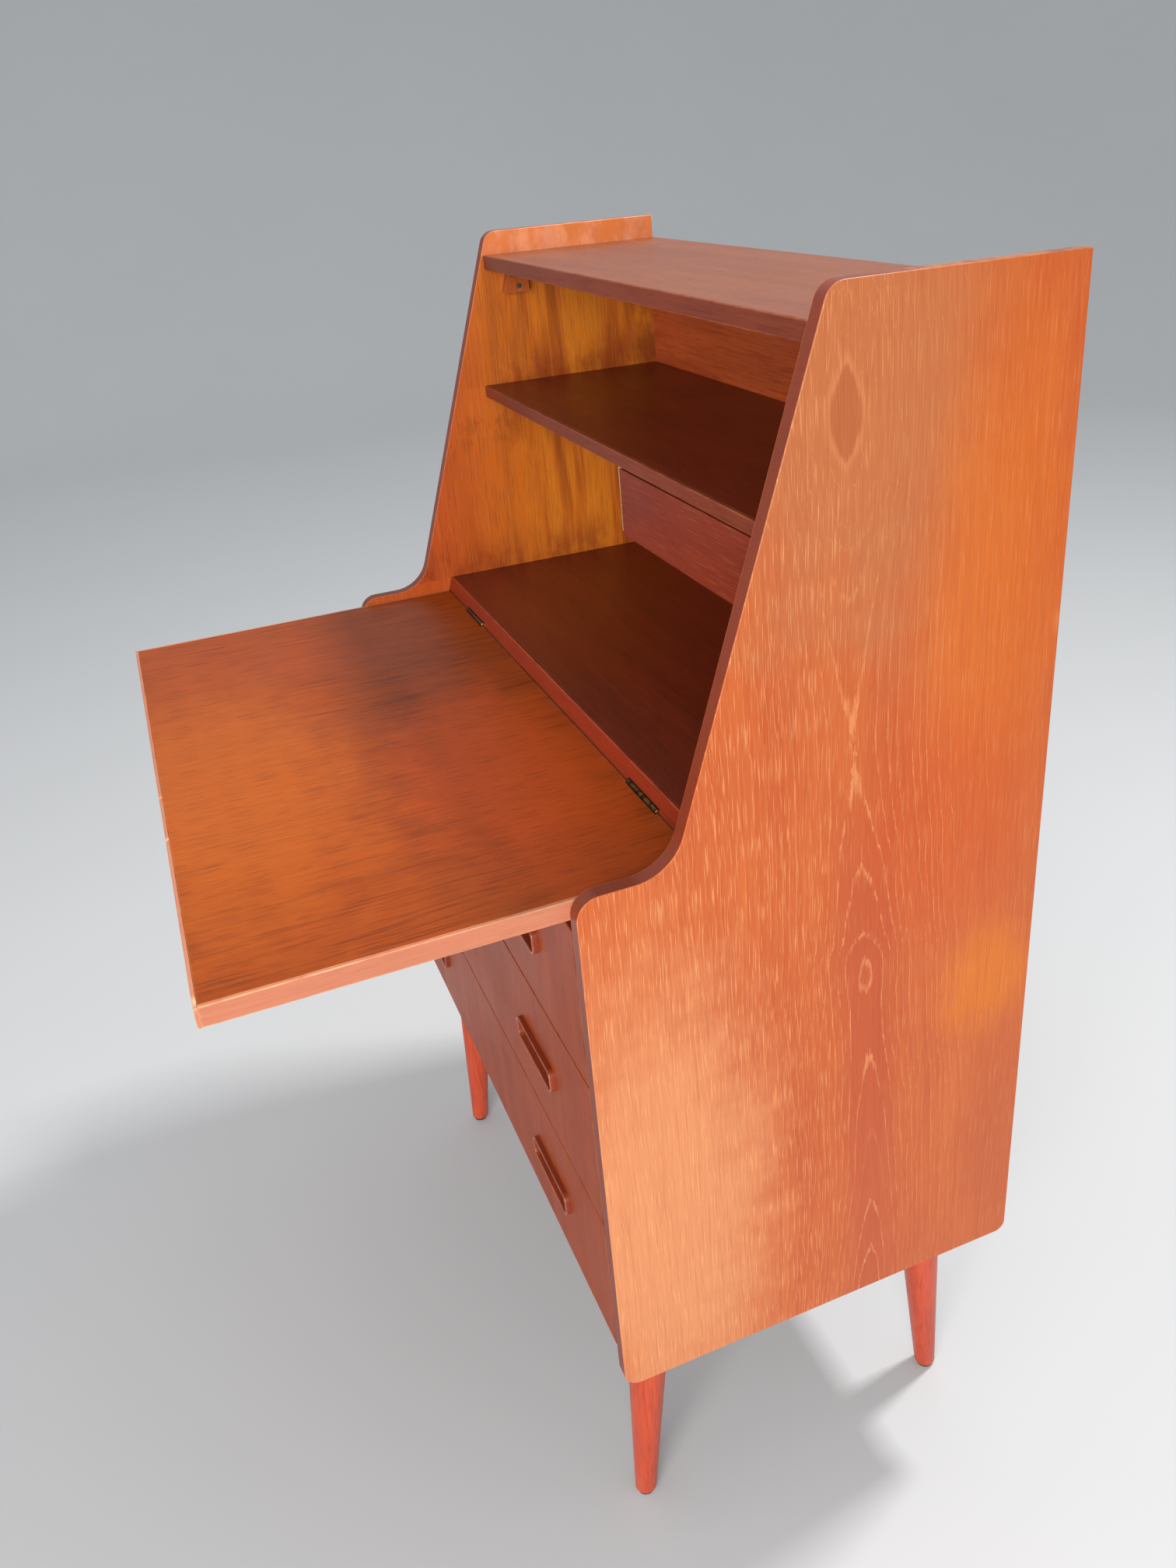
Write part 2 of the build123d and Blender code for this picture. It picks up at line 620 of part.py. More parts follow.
def flap():
    """Writing flap, open and level, with its edge strips, pull and hinge screws."""
    z = (FLAP_UNDER, WRITING_Z)
    inner = FLAP_HALF - STRIP_T
    panel = block((-inner, inner), (FLAP_FRONT + STRIP_T, FLAP_REAR), z)
    pull_place = Pos(0, FLAP_FRONT + PULL_EDGE, FLAP_UNDER) * Rot(180, 0, 0)
    leaf_made, leaf_tools = hinge_screws("-Y")
    panel = without(panel, knuckle_reliefs() + leaf_beds("flap") + leaf_tools)
    panel = panel - pull_place * pocket(PULL_L, PULL_H, PULL_IN)
    add("flap_panel", panel)
    front = block((-FLAP_HALF, FLAP_HALF), (FLAP_FRONT, FLAP_FRONT + STRIP_T), z)
    front = fillet(front.edges().filter_by(Axis.X).sort_by(Axis.Y)[:2], ARRIS)
    add("flap_edge_strip_front", front)
    strip = block((inner, FLAP_HALF), (FLAP_FRONT + STRIP_T, FLAP_REAR), z)
    strip = fillet(strip.edges().filter_by(Axis.Y).sort_by(Axis.X)[-2:], ARRIS)
    add("flap_edge_strip_right", strip)
    add("flap_edge_strip_left", mirror_x(strip))
    add("flap_pull", pull_place * cup(PULL_L, PULL_H, PULL_OUT, PULL_IN))
    add("hinge_leaf_screws_flap", joined(leaf_made))


# ---------------------------------------------------------------- drawers

def bottom_grooved(side_board, y, x, z, thickness):
    """Board with the groove that holds a drawer bottom."""
    return side_board - block(x, y, (z, z + thickness + FIT))


def drawer(index):
    """One of the three drawers, counted from the top."""
    name = f"drawer_{index + 1}_"
    low, high = front_z(index)
    box_low, box_high = low + BOX_LIFT, high - BOX_DROP
    groove_z = box_low + GROOVE_LIFT
    outer = HALF_IN - BOX_GAP
    inner = outer - BOX_SIDE_T
    rear = DRAWER_REAR
    pull_z = (low + high) / 2
    seats = [Pos(side * PULL_X, 0, pull_z) * Rot(90, 0, 0) for side in (-1, 1)]

    front = eased(block((-FRONT_HALF, FRONT_HALF), (0, FRONT_T), (low, high)))
    front = without(front, [seat * pocket(PULL_L, PULL_H, PULL_IN) for seat in seats])
    groove_x = (-inner - GROOVE_DEEP, inner + GROOVE_DEEP)
    front = bottom_grooved(front, (FRONT_T - GROOVE_DEEP + 1, FRONT_T + 1), groove_x, groove_z, BOX_BOTTOM_T)
    add(name + "front", front)
    add(name + "pulls", joined([seat * cup(PULL_L, PULL_H, PULL_OUT, PULL_IN) for seat in seats]))

    side = block((inner, outer), (FRONT_T, rear), (box_low, box_high))
    side = side - block((inner - 1, inner + GROOVE_DEEP), (0, rear + 1), (groove_z, groove_z + BOX_BOTTOM_T + FIT))
    half = RUNNER_H / 2 + RUNNER_CLEAR
    z = runner_z(index)
    side = side - block((outer - RUNNER_DEEP, outer + 1), (0, rear + 1), (z - half, z + half))
    add(name + "sides", joined([side, mirror_x(side)]))

    bottom_x = inner + GROOVE_DEEP - FIT
    bottom_y = (FRONT_T - GROOVE_DEEP + 1 + FIT, rear - 1)
    add(name + "bottom", block((-bottom_x, bottom_x), bottom_y, (groove_z, groove_z + BOX_BOTTOM_T)))
    back_z = (groove_z + BOX_BOTTOM_T + FIT, box_high - 6)
    add(name + "back", block((-inner, inner), (rear - BOX_BACK_T - 4, rear - 4), back_z))


# ---------------------------------------------------------------- hung small drawer

def small_runner_z():
    """Lower and upper edge of the small drawer's runners."""
    low = SMALL_UNDER + SMALL_LIFT + SMALL_RUNNER_LIFT
    return low, low + SMALL_RUNNER_H


def small_runner_y():
    """Front and rear end of the small drawer's runners."""
    return SHELF_FRONT + SMALL_FRONT_T + RUNNER_START, BACK_FACE - RUNNER_START


def small_runner_right():
    """Runner on the right side panel."""
    inner = HALF_IN - BOX_GAP - SMALL_GROOVE + RUNNER_CLEAR
    return block((inner, HALF_IN), small_runner_y(), small_runner_z())


def small_runner_left():
    """Runner on the hanger board."""
    inner = HANGER_FACE + BOX_GAP + SMALL_GROOVE - RUNNER_CLEAR
    return block((HANGER_FACE, inner), small_runner_y(), small_runner_z())


def small_hanger():
    """Thin board that hangs from the shelf beside the small drawer."""
    low = SMALL_UNDER + 2
    return block((HANGER_FACE - HANGER_T, HANGER_FACE), (SHELF_FRONT + 2, BACK_FACE), (low, SHELF_UNDER))


def small_drawer():
    """Drawer hung under the shelf, opened by the lower edge of its front."""
    front_y = SHELF_FRONT
    back_of_front = front_y + SMALL_FRONT_T
    rear = BACK_FACE - SMALL_REAR_GAP
    low, high = SMALL_UNDER + SMALL_LIFT, SMALL_TOP - SMALL_DROP
    left_out, right_out = HANGER_FACE + BOX_GAP, HALF_IN - BOX_GAP
    left_in, right_in = left_out + SMALL_SIDE_T, right_out - SMALL_SIDE_T
    groove_z = low + 4
    deep = SMALL_SIDE_T - SMALL_GROOVE - 1

    front = eased(block((SMALL_X, SMALL_RIGHT), (front_y, back_of_front), (SMALL_UNDER, SMALL_TOP)))
    middle = (SMALL_X + SMALL_RIGHT) / 2
    grip = Pos(middle, back_of_front, SMALL_UNDER) * Rot(0, 90, 0) * Cylinder(GRIP_R, SMALL_RIGHT - SMALL_X + 2)
    front = front - grip
    add("small_drawer_front", front)

    runner_low, runner_high = small_runner_z()
    slot = (runner_low - RUNNER_CLEAR, runner_high + RUNNER_CLEAR)
    bed = (groove_z, groove_z + SMALL_BOTTOM_T + FIT)
    y = (back_of_front, rear)
    left = block((left_out, left_in), y, (low, high))
    left = left - block((left_out - 1, left_out + SMALL_GROOVE), (0, rear + 1), slot)
    left = left - block((left_in - deep, left_in + 1), (0, rear + 1), bed)
    right = block((right_in, right_out), y, (low, high))
    right = right - block((right_out - SMALL_GROOVE, right_out + 1), (0, rear + 1), slot)
    right = right - block((right_in - 1, right_in + deep), (0, rear + 1), bed)
    add("small_drawer_sides", joined([left, right]))
    bottom_x = (left_in - deep + FIT, right_in + deep - FIT)
    add("small_drawer_bottom", block(bottom_x, (back_of_front, rear - 1), (groove_z, groove_z + SMALL_BOTTOM_T)))
    back_z = (groove_z + SMALL_BOTTOM_T + FIT, high)
    add("small_drawer_back", block((left_in, right_in), (rear - SMALL_BACK_T, rear), back_z))


def write():
    """Move every piece to the origin of the whole and write its STEP file."""
    os.makedirs("parts", exist_ok=True)
    for node, shape in parts.items():
        export_step(Pos(0, -ORIGIN_Y, 0) * shape, f"parts/{node}.step")


carcass()
hinges()
flap()
for number in range(DRAWER_COUNT):
    drawer(number)
small_drawer()
write()
print(len(parts), "nodes; origin at carcass y", round(ORIGIN_Y, 3), "; axis", round(AXIS_Y, 3), round(AXIS_Z, 3))
print("flap length", round(FLAP_LENGTH, 2), "front", round(FLAP_FRONT, 2), "shelf front", round(SHELF_FRONT, 2))
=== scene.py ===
"""Looks of the secretary desk: teak veneers, solid edges, turned legs, recessed pulls, metal and stage."""
import json
import math

import bmesh
import bpy
import numpy as np
from mathutils import Matrix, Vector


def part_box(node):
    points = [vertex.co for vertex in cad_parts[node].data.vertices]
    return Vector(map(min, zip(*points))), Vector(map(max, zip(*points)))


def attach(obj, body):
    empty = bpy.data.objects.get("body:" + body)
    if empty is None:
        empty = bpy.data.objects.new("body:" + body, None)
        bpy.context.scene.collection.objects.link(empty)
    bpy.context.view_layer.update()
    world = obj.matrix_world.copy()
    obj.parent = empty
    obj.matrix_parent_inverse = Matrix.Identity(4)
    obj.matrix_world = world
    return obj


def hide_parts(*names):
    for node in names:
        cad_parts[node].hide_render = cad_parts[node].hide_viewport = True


bl_info = {
    "name": "Secretary desk finish",
    "version": (1, 0, 0),
    "blender": (4, 5, 0),
    "location": "View3D > Sidebar > Desk",
    "description": "Veneers, solid wood, metal and stage for a secretary desk",
    "category": "Object",
}

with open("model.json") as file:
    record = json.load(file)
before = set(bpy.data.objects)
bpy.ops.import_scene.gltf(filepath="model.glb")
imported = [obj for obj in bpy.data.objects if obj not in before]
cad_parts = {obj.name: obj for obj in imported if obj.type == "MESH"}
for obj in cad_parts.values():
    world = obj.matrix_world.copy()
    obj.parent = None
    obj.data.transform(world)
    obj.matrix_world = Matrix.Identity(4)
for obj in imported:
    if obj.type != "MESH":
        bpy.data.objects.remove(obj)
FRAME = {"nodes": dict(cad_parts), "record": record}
NODES = FRAME["nodes"]
BODY = {node: body for body, nodes in FRAME["record"]["behaviour"]["bodies"].items() for node in nodes}
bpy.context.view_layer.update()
FRONT_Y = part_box("drawer_1_front")[0].y
FLOOR_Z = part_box("leg_glides")[0].z
SIDE_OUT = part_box("side_panel_right")[1].x
SIDE_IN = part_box("side_panel_right")[0].x
TOUCH = 2e-5                # points this close to a plane lie on it
SKIN = 0.0009               # depth that still belongs to a side panel's face
DRAWERS = (1, 2, 3)

# Features per metre across and along the grain
SWAY_GRAIN = (9.0, 3.2)
FIBRE_GRAIN = (700.0, 12.0)
PORE_GRAIN = (1050.0, 34.0)
LINE_GRAIN = (400.0, 15.0)
BAND_GRAIN = (34.0, 2.6)
CLOUD_GRAIN = (5.0, 3.0)
TOOTH_GRAIN = (620.0, 9.0)
DRIFT_GRAIN = (11.0, 6.0)
RAGGED_GRAIN = (700.0, 150.0)
BROKEN_GRAIN = (300.0, 22.0)
FLAME_GRAIN = (34.0, 2.6)
BLOTCH_GRAIN = (26.0, 16.0)
SWAY = 0.012                # sideways wander of the fibres


def linear(red, green, blue):
    """Scene-linear colour from 0 to 255 display values."""
    value = np.array((red, green, blue)) / 255.0
    low = value / 12.92
    high = ((value + 0.055) / 1.055) ** 2.4
    return tuple(float(v) for v in np.where(value <= 0.04045, low, high))


def color_prop(label, words, shade):
    """Colour property with its default."""
    return bpy.props.FloatVectorProperty(
        name=label, description=words, default=linear(*shade), size=3, min=0.0, max=1.0, subtype="COLOR")


def length_prop(label, words, default, least, most):
    """Length property with its default and limits, in metres."""
    return bpy.props.FloatProperty(
        name=label, description=words, default=default, min=least, max=most, unit="LENGTH")


def angle_prop(label, words, degrees):
    """Angle property with its default in degrees."""
    return bpy.props.FloatProperty(
        name=label, description=words, default=math.radians(degrees), subtype="ANGLE")


class DeskFinish(bpy.types.PropertyGroup):
    """Colours of the woods and metals."""
    side: color_prop("Side veneer", "Outer faces of the side panels", (198, 102, 44))
    side_light: color_prop("Side pores", "Pale pore lines of the side veneer", (234, 164, 106))
    side_deep: color_prop("Side heart", "Darker middle of the arched figure", (172, 70, 36))
    gold: color_prop("Golden veneer", "Inner faces of the side panels", (204, 108, 24))
    gold_dark: color_prop("Golden veneer streaks", "Dark flames of the inner faces", (112, 52, 14))
    flap: color_prop("Flap veneer", "Writing surface", (160, 68, 10))
    flap_dark: color_prop("Flap streaks", "Dark streaks of the writing surface", (102, 38, 6))
    front: color_prop("Drawer fronts", "Veneer of the drawer fronts", (158, 66, 26))
    front_dark: color_prop("Drawer front streaks", "Dark streaks of the drawer fronts", (118, 46, 20))
    board: color_prop("Boards", "Deck, shelf and other inner boards", (116, 42, 20))
    board_dark: color_prop("Board streaks", "Dark streaks of the boards", (78, 24, 12))
    leg: color_prop("Legs", "Turned solid teak", (212, 86, 50))
    pull: color_prop("Pulls", "Recessed pulls", (146, 60, 30))
    back: color_prop("Back panel", "Thin back panel", (214, 100, 50))
    pale: color_prop("Drawer boxes", "Plain pale hardwood", (196, 158, 112))
    brass: color_prop("Hinges", "Aged brass", (120, 92, 52))
    steel: color_prop("Screws", "Dulled steel", (150, 146, 138))


class DeskShape(bpy.types.PropertyGroup):
    """Sizes of the rounded pieces."""
    pull_wall: length_prop("Pull rim", "Thickness of the pull's rim", 0.0024, 0.001, 0.005)
    panel_ease: length_prop("Panel arris", "Rounding on the rim of the side panels", 0.0012, 0.0003, 0.003)
    strip_ease: length_prop("Strip arris", "Rounding on strips and drawer fronts", 0.0008, 0.0003, 0.002)
    pull_length: length_prop("Pull length", "Length of a pull", 0.090, 0.05, 0.15)
    pull_corner: length_prop("Pull corner", "Corner radius of a pull", 0.008, 0.003, 0.012)
    foot_radius: length_prop("Foot radius", "Radius of a leg at the floor", 0.0105, 0.006, 0.02)
    leg_ease: length_prop("Foot round", "Rounding at the foot of a leg", 0.0024, 0.0, 0.006)


class DeskStage(bpy.types.PropertyGroup):
    """Light and camera."""
    eye: bpy.props.FloatVectorProperty(
        name="Camera place", description="Camera position", default=(1.03037, -0.20534 + FRONT_Y, 1.20894),
        size=3, subtype="TRANSLATION", unit="LENGTH")
    heading: angle_prop("Heading", "Turn of the view about the vertical", 69.43)
    tilt: angle_prop("Tilt", "Height of the camera above the view's centre", 26.74)
    roll: angle_prop("Roll", "Turn about the line of sight", -4.51)
    lens: bpy.props.FloatProperty(name="Lens", description="Focal length in millimetres", default=28.47)
    sky: bpy.props.FloatProperty(name="Sky", description="Strength of the even light", default=0.74)
    side_light: bpy.props.FloatProperty(
        name="Side light", description="Strength of the large light at the side", default=92.0)
    rear_light: bpy.props.FloatProperty(
        name="Rear light", description="Strength of the high light behind", default=90.0)
    floor: color_prop("Floor", "Pale studio floor", (196, 198, 200))


# ------------------------------------------------------------------ shader tools

class Net:
    """Short way to add and link shader nodes in one tree."""

    def __init__(self, tree):
        self.tree = tree

    def put(self, socket, value):
        """Link a socket or set its value."""
        if isinstance(value, bpy.types.NodeSocket):
            self.tree.links.new(value, socket)
        elif socket.type == "RGBA" and len(value) == 3:
            socket.default_value = (*value, 1.0)
        else:
            socket.default_value = value

    def add(self, kind, inputs=None, **settings):
        """Shader node with settings and inputs."""
        node = self.tree.nodes.new("ShaderNode" + kind)
        for key, value in settings.items():
            setattr(node, key, value)
        for key, value in (inputs or {}).items():
            self.put(node.inputs[key], value)
        return node

    def math(self, operation, first, second=0.0, clamp=False):
        """Result of one arithmetic step."""
        node = self.add("Math", operation=operation, use_clamp=clamp)
        self.put(node.inputs[0], first)
        self.put(node.inputs[1], second)
        return node.outputs[0]

    def plus(self, first, second, clamp=False):
        """Sum of two values."""
        return self.math("ADD", first, second, clamp)

    def minus(self, first, second, clamp=False):
        """Difference of two values."""
        return self.math("SUBTRACT", first, second, clamp)

    def times(self, first, *others):
        """Product of two or more values."""
        for other in others:
            first = self.math("MULTIPLY", first, other)
        return first

    def swing(self, value, size):
        """A value about 0.5 turned into one about 0, scaled by the size."""
        return self.times(self.minus(value, 0.5), size)

    def split(self, vector):
        """X, Y and Z of a vector."""
        return self.add("SeparateXYZ", {"Vector": vector}).outputs

    def combine(self, x, y, z=0.0):
        """Vector from three numbers."""
        return self.add("CombineXYZ", {"X": x, "Y": y, "Z": z}).outputs[0]

    def noise(self, vector, scale=1.0, detail=2.0, rough=0.5, twist=0.0):
        """Smooth random value from 0 to 1 about 0.5."""
        return self.add("TexNoise", {"Vector": vector, "Scale": scale, "Detail": detail,
                                     "Roughness": rough, "Distortion": twist}).outputs["Fac"]

    def stretched(self, across, along, grain, layer=0.0, detail=3.0, rough=0.6, twist=0.0):
        """Noise with its own number of features per metre across and along the grain."""
        spot = self.combine(self.times(across, grain[0]), self.times(along, grain[1]), layer)
        return self.noise(spot, 1.0, detail, rough, twist)

    def step(self, value, low, high, start=0.0, end=1.0):
        """Smooth step of value from low to high."""
        return self.add("MapRange", {"Value": value, "From Min": low, "From Max": high, "To Min": start,
                                     "To Max": end}, interpolation_type="SMOOTHSTEP").outputs["Result"]

    def blend(self, share, first, second):
        """Colour between two colours."""
        node = self.add("Mix", data_type="RGBA", blend_type="MIX")
        self.put(node.inputs["Factor"], share)
        self.put(node.inputs[6], first)
        self.put(node.inputs[7], second)
        return node.outputs[2]

    def curve(self, value, points):
        """Value read from a smooth curve through points."""
        node = self.add("FloatCurve")
        self.put(node.inputs["Value"], value)
        line = node.mapping.curves[0]
        line.points[0].location = points[0]
        line.points[-1].location = points[-1]
        for spot in points[1:-1]:
            line.points.new(*spot)
        node.mapping.update()
        return node.outputs["Value"]


GROUPS = {}


def group(key, name, inputs, outputs, fill):
    """Shader node group: fill works out the outputs from the inputs.

    inputs gives each number its default, and None stands for a vector. The outputs are all numbers.
    """
    tree = bpy.data.node_groups.new(name, "ShaderNodeTree")
    for label, value in inputs.items():
        kind = "NodeSocketVector" if value is None else "NodeSocketFloat"
        socket = tree.interface.new_socket(label, in_out="INPUT", socket_type=kind)
        if value is not None:
            socket.default_value = value
    for label in outputs:
        tree.interface.new_socket(label, in_out="OUTPUT", socket_type="NodeSocketFloat")
    net = Net(tree)
    start = tree.nodes.new("NodeGroupInput")
    end = tree.nodes.new("NodeGroupOutput")
    for label, value in fill(net, start.outputs).items():
        net.put(end.inputs[label], value)
    GROUPS[key] = tree


def use(net, effect, **values):
    """Outputs of a shared effect placed in a net; underscores in names stand for spaces."""
    node = net.tree.nodes.new("ShaderNodeGroup")
    node.node_tree = GROUPS[effect]
    for key, value in values.items():
        net.put(node.inputs[key.replace("_", " ")], value)
    return node.outputs


def fill_streaks(net, source):
    """Fibre, pores, dark lines, bands and clouds of wood whose grain runs along the second coordinate."""
    split = net.split(source["Grain"])
    seed = source["Seed"]
    across, along, depth = split["X"], split["Y"], split["Z"]
    layer = net.plus(depth, seed)
    sway = net.stretched(across, along, SWAY_GRAIN, layer, 2.0, 0.5)
    bent = net.plus(across, net.swing(sway, SWAY))
    fibre = net.stretched(bent, along, FIBRE_GRAIN, net.times(depth, FIBRE_GRAIN[0]), 3.0, 0.65)
    pore = net.stretched(bent, along, PORE_GRAIN, net.plus(net.times(depth, PORE_GRAIN[0]), seed), 1.0, 0.5)
    line = net.stretched(bent, along, LINE_GRAIN, net.plus(net.times(depth, LINE_GRAIN[0]), seed), 2.0)
    return {"Fibre": fibre,
            "Pores": net.step(pore, 0.55, 0.70),
            "Lines": net.step(line, 0.50, 0.68),
            "Bands": net.stretched(bent, along, BAND_GRAIN, layer, 3.0, 0.55),
            "Cloud": net.stretched(across, along, CLOUD_GRAIN, seed)}


def fill_rings(net, source):
    """Ragged pale lines where the ring count passes a whole number, fading on one side."""
    split = net.split(source["Grain"])
    ragged = net.stretched(split["X"], split["Y"], RAGGED_GRAIN, 0.0, 2.0)
    moved = net.plus(source["Count"], net.swing(ragged, 0.16))
    part = net.math("FRACT", moved)
    rise = net.step(part, net.minus(1.0, source["Width"]), 0.97)
    luck = net.add("TexWhiteNoise", {"W": net.math("FLOOR", moved)}, noise_dimensions="1D").outputs["Value"]
    broken = net.step(net.stretched(split["X"], split["Y"], BROKEN_GRAIN, 3.0, 2.0), 0.32, 0.58)
    line = net.times(rise, net.times(broken, net.step(luck, 0.0, 0.8, 0.25, 1.0)))
    return {"Line": line, "Tone": net.plus(net.times(part, 0.5), net.times(luck, 0.5))}


def fill_wear_and_highlight(net, source):
    """1 on rounded arrises, where the rounded normal leaves the flat one, broken up by noise; on the woods it
    marks rubbed finish and a painted highlight.
    """
    soft = net.add("Bevel", {"Radius": source["Radius"]}, samples=4).outputs[0]
    flat = net.add("NewGeometry").outputs["True Normal"]
    same = net.add("VectorMath", operation="DOT_PRODUCT")
    net.put(same.inputs[0], soft)
    net.put(same.inputs[1], flat)
    edge = net.step(same.outputs["Value"], 0.995, 0.93)
    patchy = net.step(net.noise(source["Place"], 42.0, 3.0, 0.65), 0.30, 0.62)
    return {"Edge": edge, "Worn_and_highlit": net.times(edge, patchy)}


def fill_patch(net, source):
    """1 inside a soft ellipse in the first two coordinates, with an uneven rim."""
    split = net.split(source["Grain"])
    ripple = net.noise(source["Grain"], 26.0, 3.0, 0.6)
    u = net.math("DIVIDE", net.minus(split["X"], source["Across"]), source["Half Width"])
    v = net.math("DIVIDE", net.minus(split["Y"], source["Along"]), source["Half Length"])
    reach = net.math("SQRT", net.plus(net.times(u, u), net.times(v, v)))
    return {"Mask": net.step(net.plus(reach, net.swing(ripple, 0.7)), 1.15, 0.35)}


def fill_handling(net, source):
    """Roughness change from wiping, with duller specks of dust."""
    smear = net.noise(source["Place"], 7.0, 3.0, 0.6, 0.4)
    speck = net.step(net.noise(source["Place"], 260.0, 2.0, 0.5), 0.66, 0.76)
    rough = net.plus(source["Base"], net.swing(smear, 0.22))
    return {"Roughness": net.plus(rough, net.times(speck, 0.12), clamp=True)}


def make_groups():
    """Effects shared by the materials."""
    group("streaks", "Wood streaks", {"Grain": None, "Seed": 0.0},
          ("Fibre", "Pores", "Lines", "Bands", "Cloud"), fill_streaks)
    group("rings", "Growth rings", {"Grain": None, "Count": 0.0, "Width": 0.3}, ("Line", "Tone"), fill_rings)
    group("wear_and_highlight", "Edge wear", {"Place": None, "Radius": 0.0014}, ("Edge", "Worn_and_highlit"), fill_wear_and_highlight)
    group("patch", "Soft patch",
          {"Grain": None, "Across": 0.0, "Along": 0.0, "Half Width": 0.05, "Half Length": 0.05},
          ("Mask",), fill_patch)
    group("handling", "Handling marks", {"Place": None, "Base": 0.4}, ("Roughness",), fill_handling)


def start_material(name):
    """Empty material with its net, shader and object coordinates."""
    material = bpy.data.materials.new(name)
    material.use_nodes = True
    tree = material.node_tree
    tree.nodes.clear()
    net = Net(tree)
    shader = net.add("BsdfPrincipled")
    out = net.add("OutputMaterial")
    tree.links.new(shader.outputs[0], out.inputs["Surface"])
    place = net.add("TexCoord").outputs["Object"]
    return material, net, shader, place


def grain_space(net, place, across, along, depth):
    """Coordinates turned so that the grain runs along the second one, counted from the drawer fronts."""
    shifted = net.add("VectorMath", operation="SUBTRACT")
    net.put(shifted.inputs[0], place)
    shifted.inputs[1].default_value = (0.0, FRONT_Y, 0.0)
    split = net.split(shifted.outputs[0])
    return net.combine(split[across], split[along], split[depth])


def finish(net, shader, place, colour, height, base_rough, bump=0.25, coat=0.05, gloss=0.3):
    """Common last steps: handling marks, bump and a thin oil sheen."""
    rough = use(net, "handling", Place=place, Base=base_rough)["Roughness"]
    net.put(shader.inputs["Base Color"], colour)
    net.put(shader.inputs["Roughness"], rough)
    relief = net.add("Bump", {"Strength": bump, "Distance": 0.0004, "Height": height})
    net.put(shader.inputs["Normal"], relief.outputs["Normal"])
    shader.inputs["Coat Weight"].default_value = coat
    shader.inputs["Coat Roughness"].default_value = 0.25
    shader.inputs["Specular IOR Level"].default_value = gloss


def stains_and_painted_light(net, grain, colour, patches):
    """Colour with soft patches laid over it, each a shade, a strength and an ellipse in grain coordinates;
    some patches are the wood's own tone, others painted light and shade.
    """
    for shade, strength, (across, along, half_width, half_length) in patches:
        mask = use(net, "patch", Grain=grain, Across=across, Along=along, Half_Width=half_width,
                   Half_Length=half_length)["Mask"]
        colour = net.blend(net.times(mask, strength), colour, linear(*shade))
    return colour


def veneer(name, axes, light, dark, pore, seed=0.0, bands=0.3, lines=0.25, pores=0.5, rough=0.42, worn_and_highlit=None,
           wear_and_highlight=0.5, coat=0.05, gloss=0.3, chipped=False, patches=(), outside=None):
    """Straight-grained veneer: bands and fibre between two colours, pores, patches (some of them painted
    light and shade) and arrises paled by rubbing and a painted highlight.

    outside is a depth and a shade: what lies behind that Y takes the shade, as an unfinished rear face.
    """
    material, net, shader, place = start_material(name)
    grain = grain_space(net, place, *axes)
    wood = use(net, "streaks", Grain=grain, Seed=seed)
    band = net.step(wood["Bands"], 0.36, 0.66)
    share = net.plus(0.22, net.times(net.minus(band, 0.3), bands))
    share = net.plus(share, net.swing(wood["Fibre"], 0.75))
    share = net.plus(share, net.times(wood["Lines"], lines))
    share = net.plus(share, net.swing(wood["Cloud"], 0.7), clamp=True)
    colour = stains_and_painted_light(net, grain, net.blend(share, light, dark), patches)
    if outside is not None:
        depth = net.split(place)["Y"]
        behind = net.math("GREATER_THAN", depth, outside[0])
        colour = net.blend(net.times(behind, 0.8), colour, outside[1])
    colour = net.blend(net.times(wood["Pores"], pores), colour, pore)
    # Paler arrises: partly rubbed finish, partly a painted highlight.
    if worn_and_highlit is not None:
        edges = use(net, "wear_and_highlight", Place=place)
        colour = net.blend(net.times(edges["Worn_and_highlit"], wear_and_highlight), colour, worn_and_highlit)
    if chipped:
        colour = net.blend(net.add("Attribute", attribute_name="chip").outputs["Fac"], colour, PALE_CHIP)
    height = net.minus(wood["Fibre"], wood["Pores"])
    finish(net, shader, place, colour, height, rough, coat=coat, gloss=gloss)
    return material


def assign(material, *names):
    """Give a material to every slot of the named pieces."""
    for name in names:
        slots = NODES[name].data.materials
        for index in range(max(1, len(slots))):
            if index < len(slots):
                slots[index] = material
            else:
                slots.append(material)


def new_object(name, data):
    """Object in the scene, at the origin."""
    piece = bpy.data.objects.new(name, data)
    bpy.context.scene.collection.objects.link(piece)
    return piece


def smooth(mesh):
    """Shade every face of a mesh smooth."""
    mesh.polygons.foreach_set("use_smooth", np.ones(len(mesh.polygons), bool))


def ring_mesh(name, rings, material, body, replaced):
    """Closed surface from rings of points, capped at both ends; it rides on a body and stands for CAD nodes.

    rings has the shape (loops, number of rings, points in a ring, 3). A face joins each point with the
    next one in its ring and with the same two points of the next ring.
    """
    loops, count, size, _ = rings.shape
    index = np.arange(loops * count * size).reshape(loops, count, size)
    after = np.roll(index, -1, 2)
    quads = np.stack((index[:, :-1], after[:, :-1], after[:, 1:], index[:, 1:]), -1).reshape(-1, 4)
    caps = np.concatenate((index[:, 0, ::-1], index[:, -1]))
    mesh = bpy.data.meshes.new(name)
    mesh.from_pydata(rings.reshape(-1, 3).tolist(), [], quads.tolist() + caps.tolist())
    smooth(mesh)
    mesh.set_sharp_from_angle(angle=math.radians(42.0))
    mesh.materials.append(material)
    piece = new_object(name, mesh)
    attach(piece, body)
    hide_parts(*replaced)
    return piece


